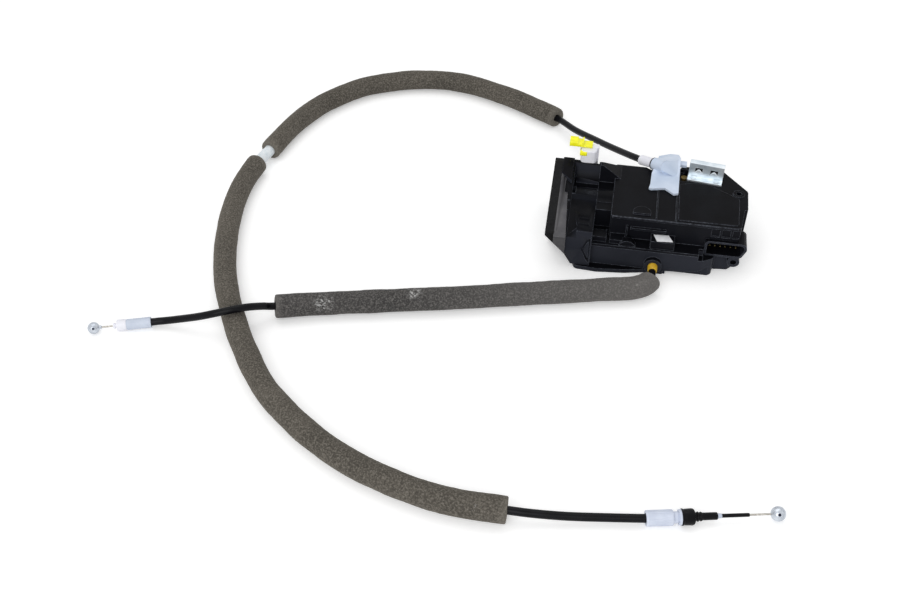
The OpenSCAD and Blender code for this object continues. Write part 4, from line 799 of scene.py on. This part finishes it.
# The clip is trimmed in three places and sits a little further left than the solid
clip_shift = -1.8
prong_trims = ((-47.6, -30, 10, 35, 59.2, 70), (-60, -47.0, 10, 35, 61.8, 70),
               (-60, -49.6, 10, 35, 40, 58.0))
clip_bm = merged("rod_clip")
for corners in prong_trims:
    clip_bm = without(clip_bm, block_of(*corners))
bmesh.ops.translate(clip_bm, vec=(clip_shift * mm, 0, 0), verts=clip_bm.verts)
rod_clip = softened(place_piece("handle_rod_clip", clip_bm, yellow_plastic,
                                "outside_handle_lever"), 0.2)
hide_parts("rod_clip")
stud_block = (-51.4, -46.4, 13.8, 17.0, 54.2, 57.5)
clip_stud = softened(place_piece("handle_clip_stud", block_of(*stud_block), yellow_plastic,
                                 "outside_handle_lever"), 0.7)

# Blue-white cable fitting on the cover's back edge, moulded in hard plastic.
# It is clipped over the ferrule of cable B, and a soft shoulder joins its barrel to its plate.
fitting_plastic = Finish("fitting_plastic", linear(192, 206, 226), linear(212, 223, 240),
                         (0.3, 0.45), cloud=70.0, grain=2600.0, edge=linear(232, 238, 248),
                         specular=0.4)
coat_nodes(fitting_plastic, "cable_fitting")
barrel_place = Vector((2.4, 31, 41.5))
barrel_way = Vector((-10.4, 10, -4.5)).normalized()
barrel_turn = barrel_way.to_track_quat("Z", "Y").to_matrix().to_4x4()
plate_spots = ((16.5, 21.5, 39.4), (19.2, 23.5, 39.4), (19.2, 36, 43.7), (17, 38, 44.1),
               (18, 43.5, 42.2), (12.5, 43.5, 42.2), (19.2, 23.5, 38.2), (4.2, 37.6, 38.4))
fitting_bm = bmesh.new()
for distance, radius in ((-2.0, 4.55), (-9.2, 3.9)):
    centre = (barrel_place + barrel_way * distance) * mm
    bmesh.ops.create_circle(fitting_bm, segments=20, radius=radius * mm,
                            matrix=Matrix.Translation(centre) @ barrel_turn)
for spot in plate_spots:
    fitting_bm.verts.new(Vector(spot) * mm)
hull = bmesh.ops.convex_hull(fitting_bm, input=fitting_bm.verts)
inner_spots = {g for g in hull["geom_interior"] + hull["geom_unused"]
               if isinstance(g, bmesh.types.BMVert)}
bmesh.ops.delete(fitting_bm, geom=list(inner_spots), context="VERTS")
bmesh.ops.recalc_face_normals(fitting_bm, faces=fitting_bm.faces)
fitting_shoulder = softened(place_piece("fitting_shoulder", fitting_bm, fitting_plastic,
                                        "lock_case", 24.0), 0.35)

# Mounting bracket: folded zinc-plated sheet steel with two lanced windows.
# Two rivets hold it to the cover's back edge.
bracket_zinc = Finish("bracket_zinc", linear(202, 214, 222), linear(236, 243, 248),
                      (0.3, 0.46), metal=0.7, cloud=150.0, grain=1500.0, depth=0.00003,
                      edge=linear(246, 250, 252), edge_gain=3.0)
coat_nodes(bracket_zinc, "mount_bracket", "bracket_rivets")

# Label: a bare piece of white coated paper.
# It is stuck on the small block at the front.
label_paper = Finish("label_paper", linear(226, 228, 232), linear(242, 243, 246),
                     (0.55, 0.75), cloud=300.0, grain=2600.0, specular=0.25)
coat_nodes(label_paper, "label")

# Plug of cable A: a yellow moulded plug with a small lip at its outer end.
# It is pushed into the round rim of the front wall and holds the conduit there.
ochre_plastic = Finish("ochre_plastic", linear(190, 148, 24), linear(226, 186, 52),
                       (0.35, 0.5), cloud=260.0, grain=2400.0, edge=linear(236, 202, 90),
                       specular=0.4)
plug_place = (7, -37.5, 8)
plug_profile = [(0, 0), (0, 3.3), (7.6, 3.3), (8.2, 3.0), (9.0, 3.0), (9.0, 0)]
plug = softened(place_piece("cable_a_plug", turned(plug_place, (0, -1, 0), plug_profile),
                            ochre_plastic, "lock_case"), 0.2)
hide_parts("cable_plug")

# Socket pins of brass, and the copper tracks that lead from them to the motor.
# Both are stamped from tinned strip and pressed into the mouldings.
pin_brass = Finish("pin_brass", linear(92, 82, 54), linear(132, 120, 84), (0.3, 0.45),
                   metal=0.9, cloud=500.0, grain=2600.0)
coat_nodes(pin_brass, "terminals", "lead_frame")

# Screws of the cover: self-tapping steel screws, blackened.
# They are driven from below through the tray into the cover's bosses.
screw_zinc = Finish("screw_zinc", linear(60, 62, 66), linear(104, 107, 112), (0.3, 0.5),
                    metal=0.85, cloud=300.0, grain=1800.0, depth=0.00003,
                    edge=linear(160, 163, 168), edge_gain=3.0)
coat_nodes(screw_zinc, "cover_screws")

# Latch works: hardened steel fork and pawl with music-wire springs.
# They turn on shouldered zinc-plated pins. The levers are stamped steel,
# and the cables' nipples are cast on the ends of the wires.
catch_steel = Finish("catch_steel", linear(120, 122, 126), linear(164, 166, 170), (0.3, 0.48),
                     metal=0.95, cloud=120.0, grain=1200.0, depth=0.00005,
                     edge=linear(214, 216, 220), edge_gain=3.0)
spring_steel = Finish("spring_steel", linear(110, 108, 104), linear(156, 154, 148),
                      (0.25, 0.4), metal=1.0, cloud=600.0, grain=3000.0)
nipple_brass = Finish("nipple_brass", linear(84, 70, 34), linear(128, 108, 56), (0.3, 0.45),
                      metal=0.6, cloud=400.0, grain=2200.0)
coat_nodes(catch_steel, "fork", "pawl", "lock_lever")
coat_nodes(bracket_zinc, "fork_pin", "pawl_pin", "lever_pin", "inside_lever_pin", "wheel_pin",
           "inside_lever", "release_arm", "nipple_a")
coat_nodes(nipple_brass, "nipple_b")
coat_nodes(spring_steel, "fork_spring", "pawl_spring")

# Lock drive: drawn steel motor can with its white end cap, and the worm on the motor's shaft.
# The worm and the wheel that it turns are moulded in white plastic.
motor_can = Finish("motor_can", linear(140, 142, 146), linear(188, 190, 194), (0.25, 0.4),
                   metal=0.95, cloud=90.0, grain=1600.0, depth=0.00003)
coat_nodes(motor_can, "motor", "worm_shaft")
coat_nodes(collar_white, "motor_cap", "worm_wheel", "worm")
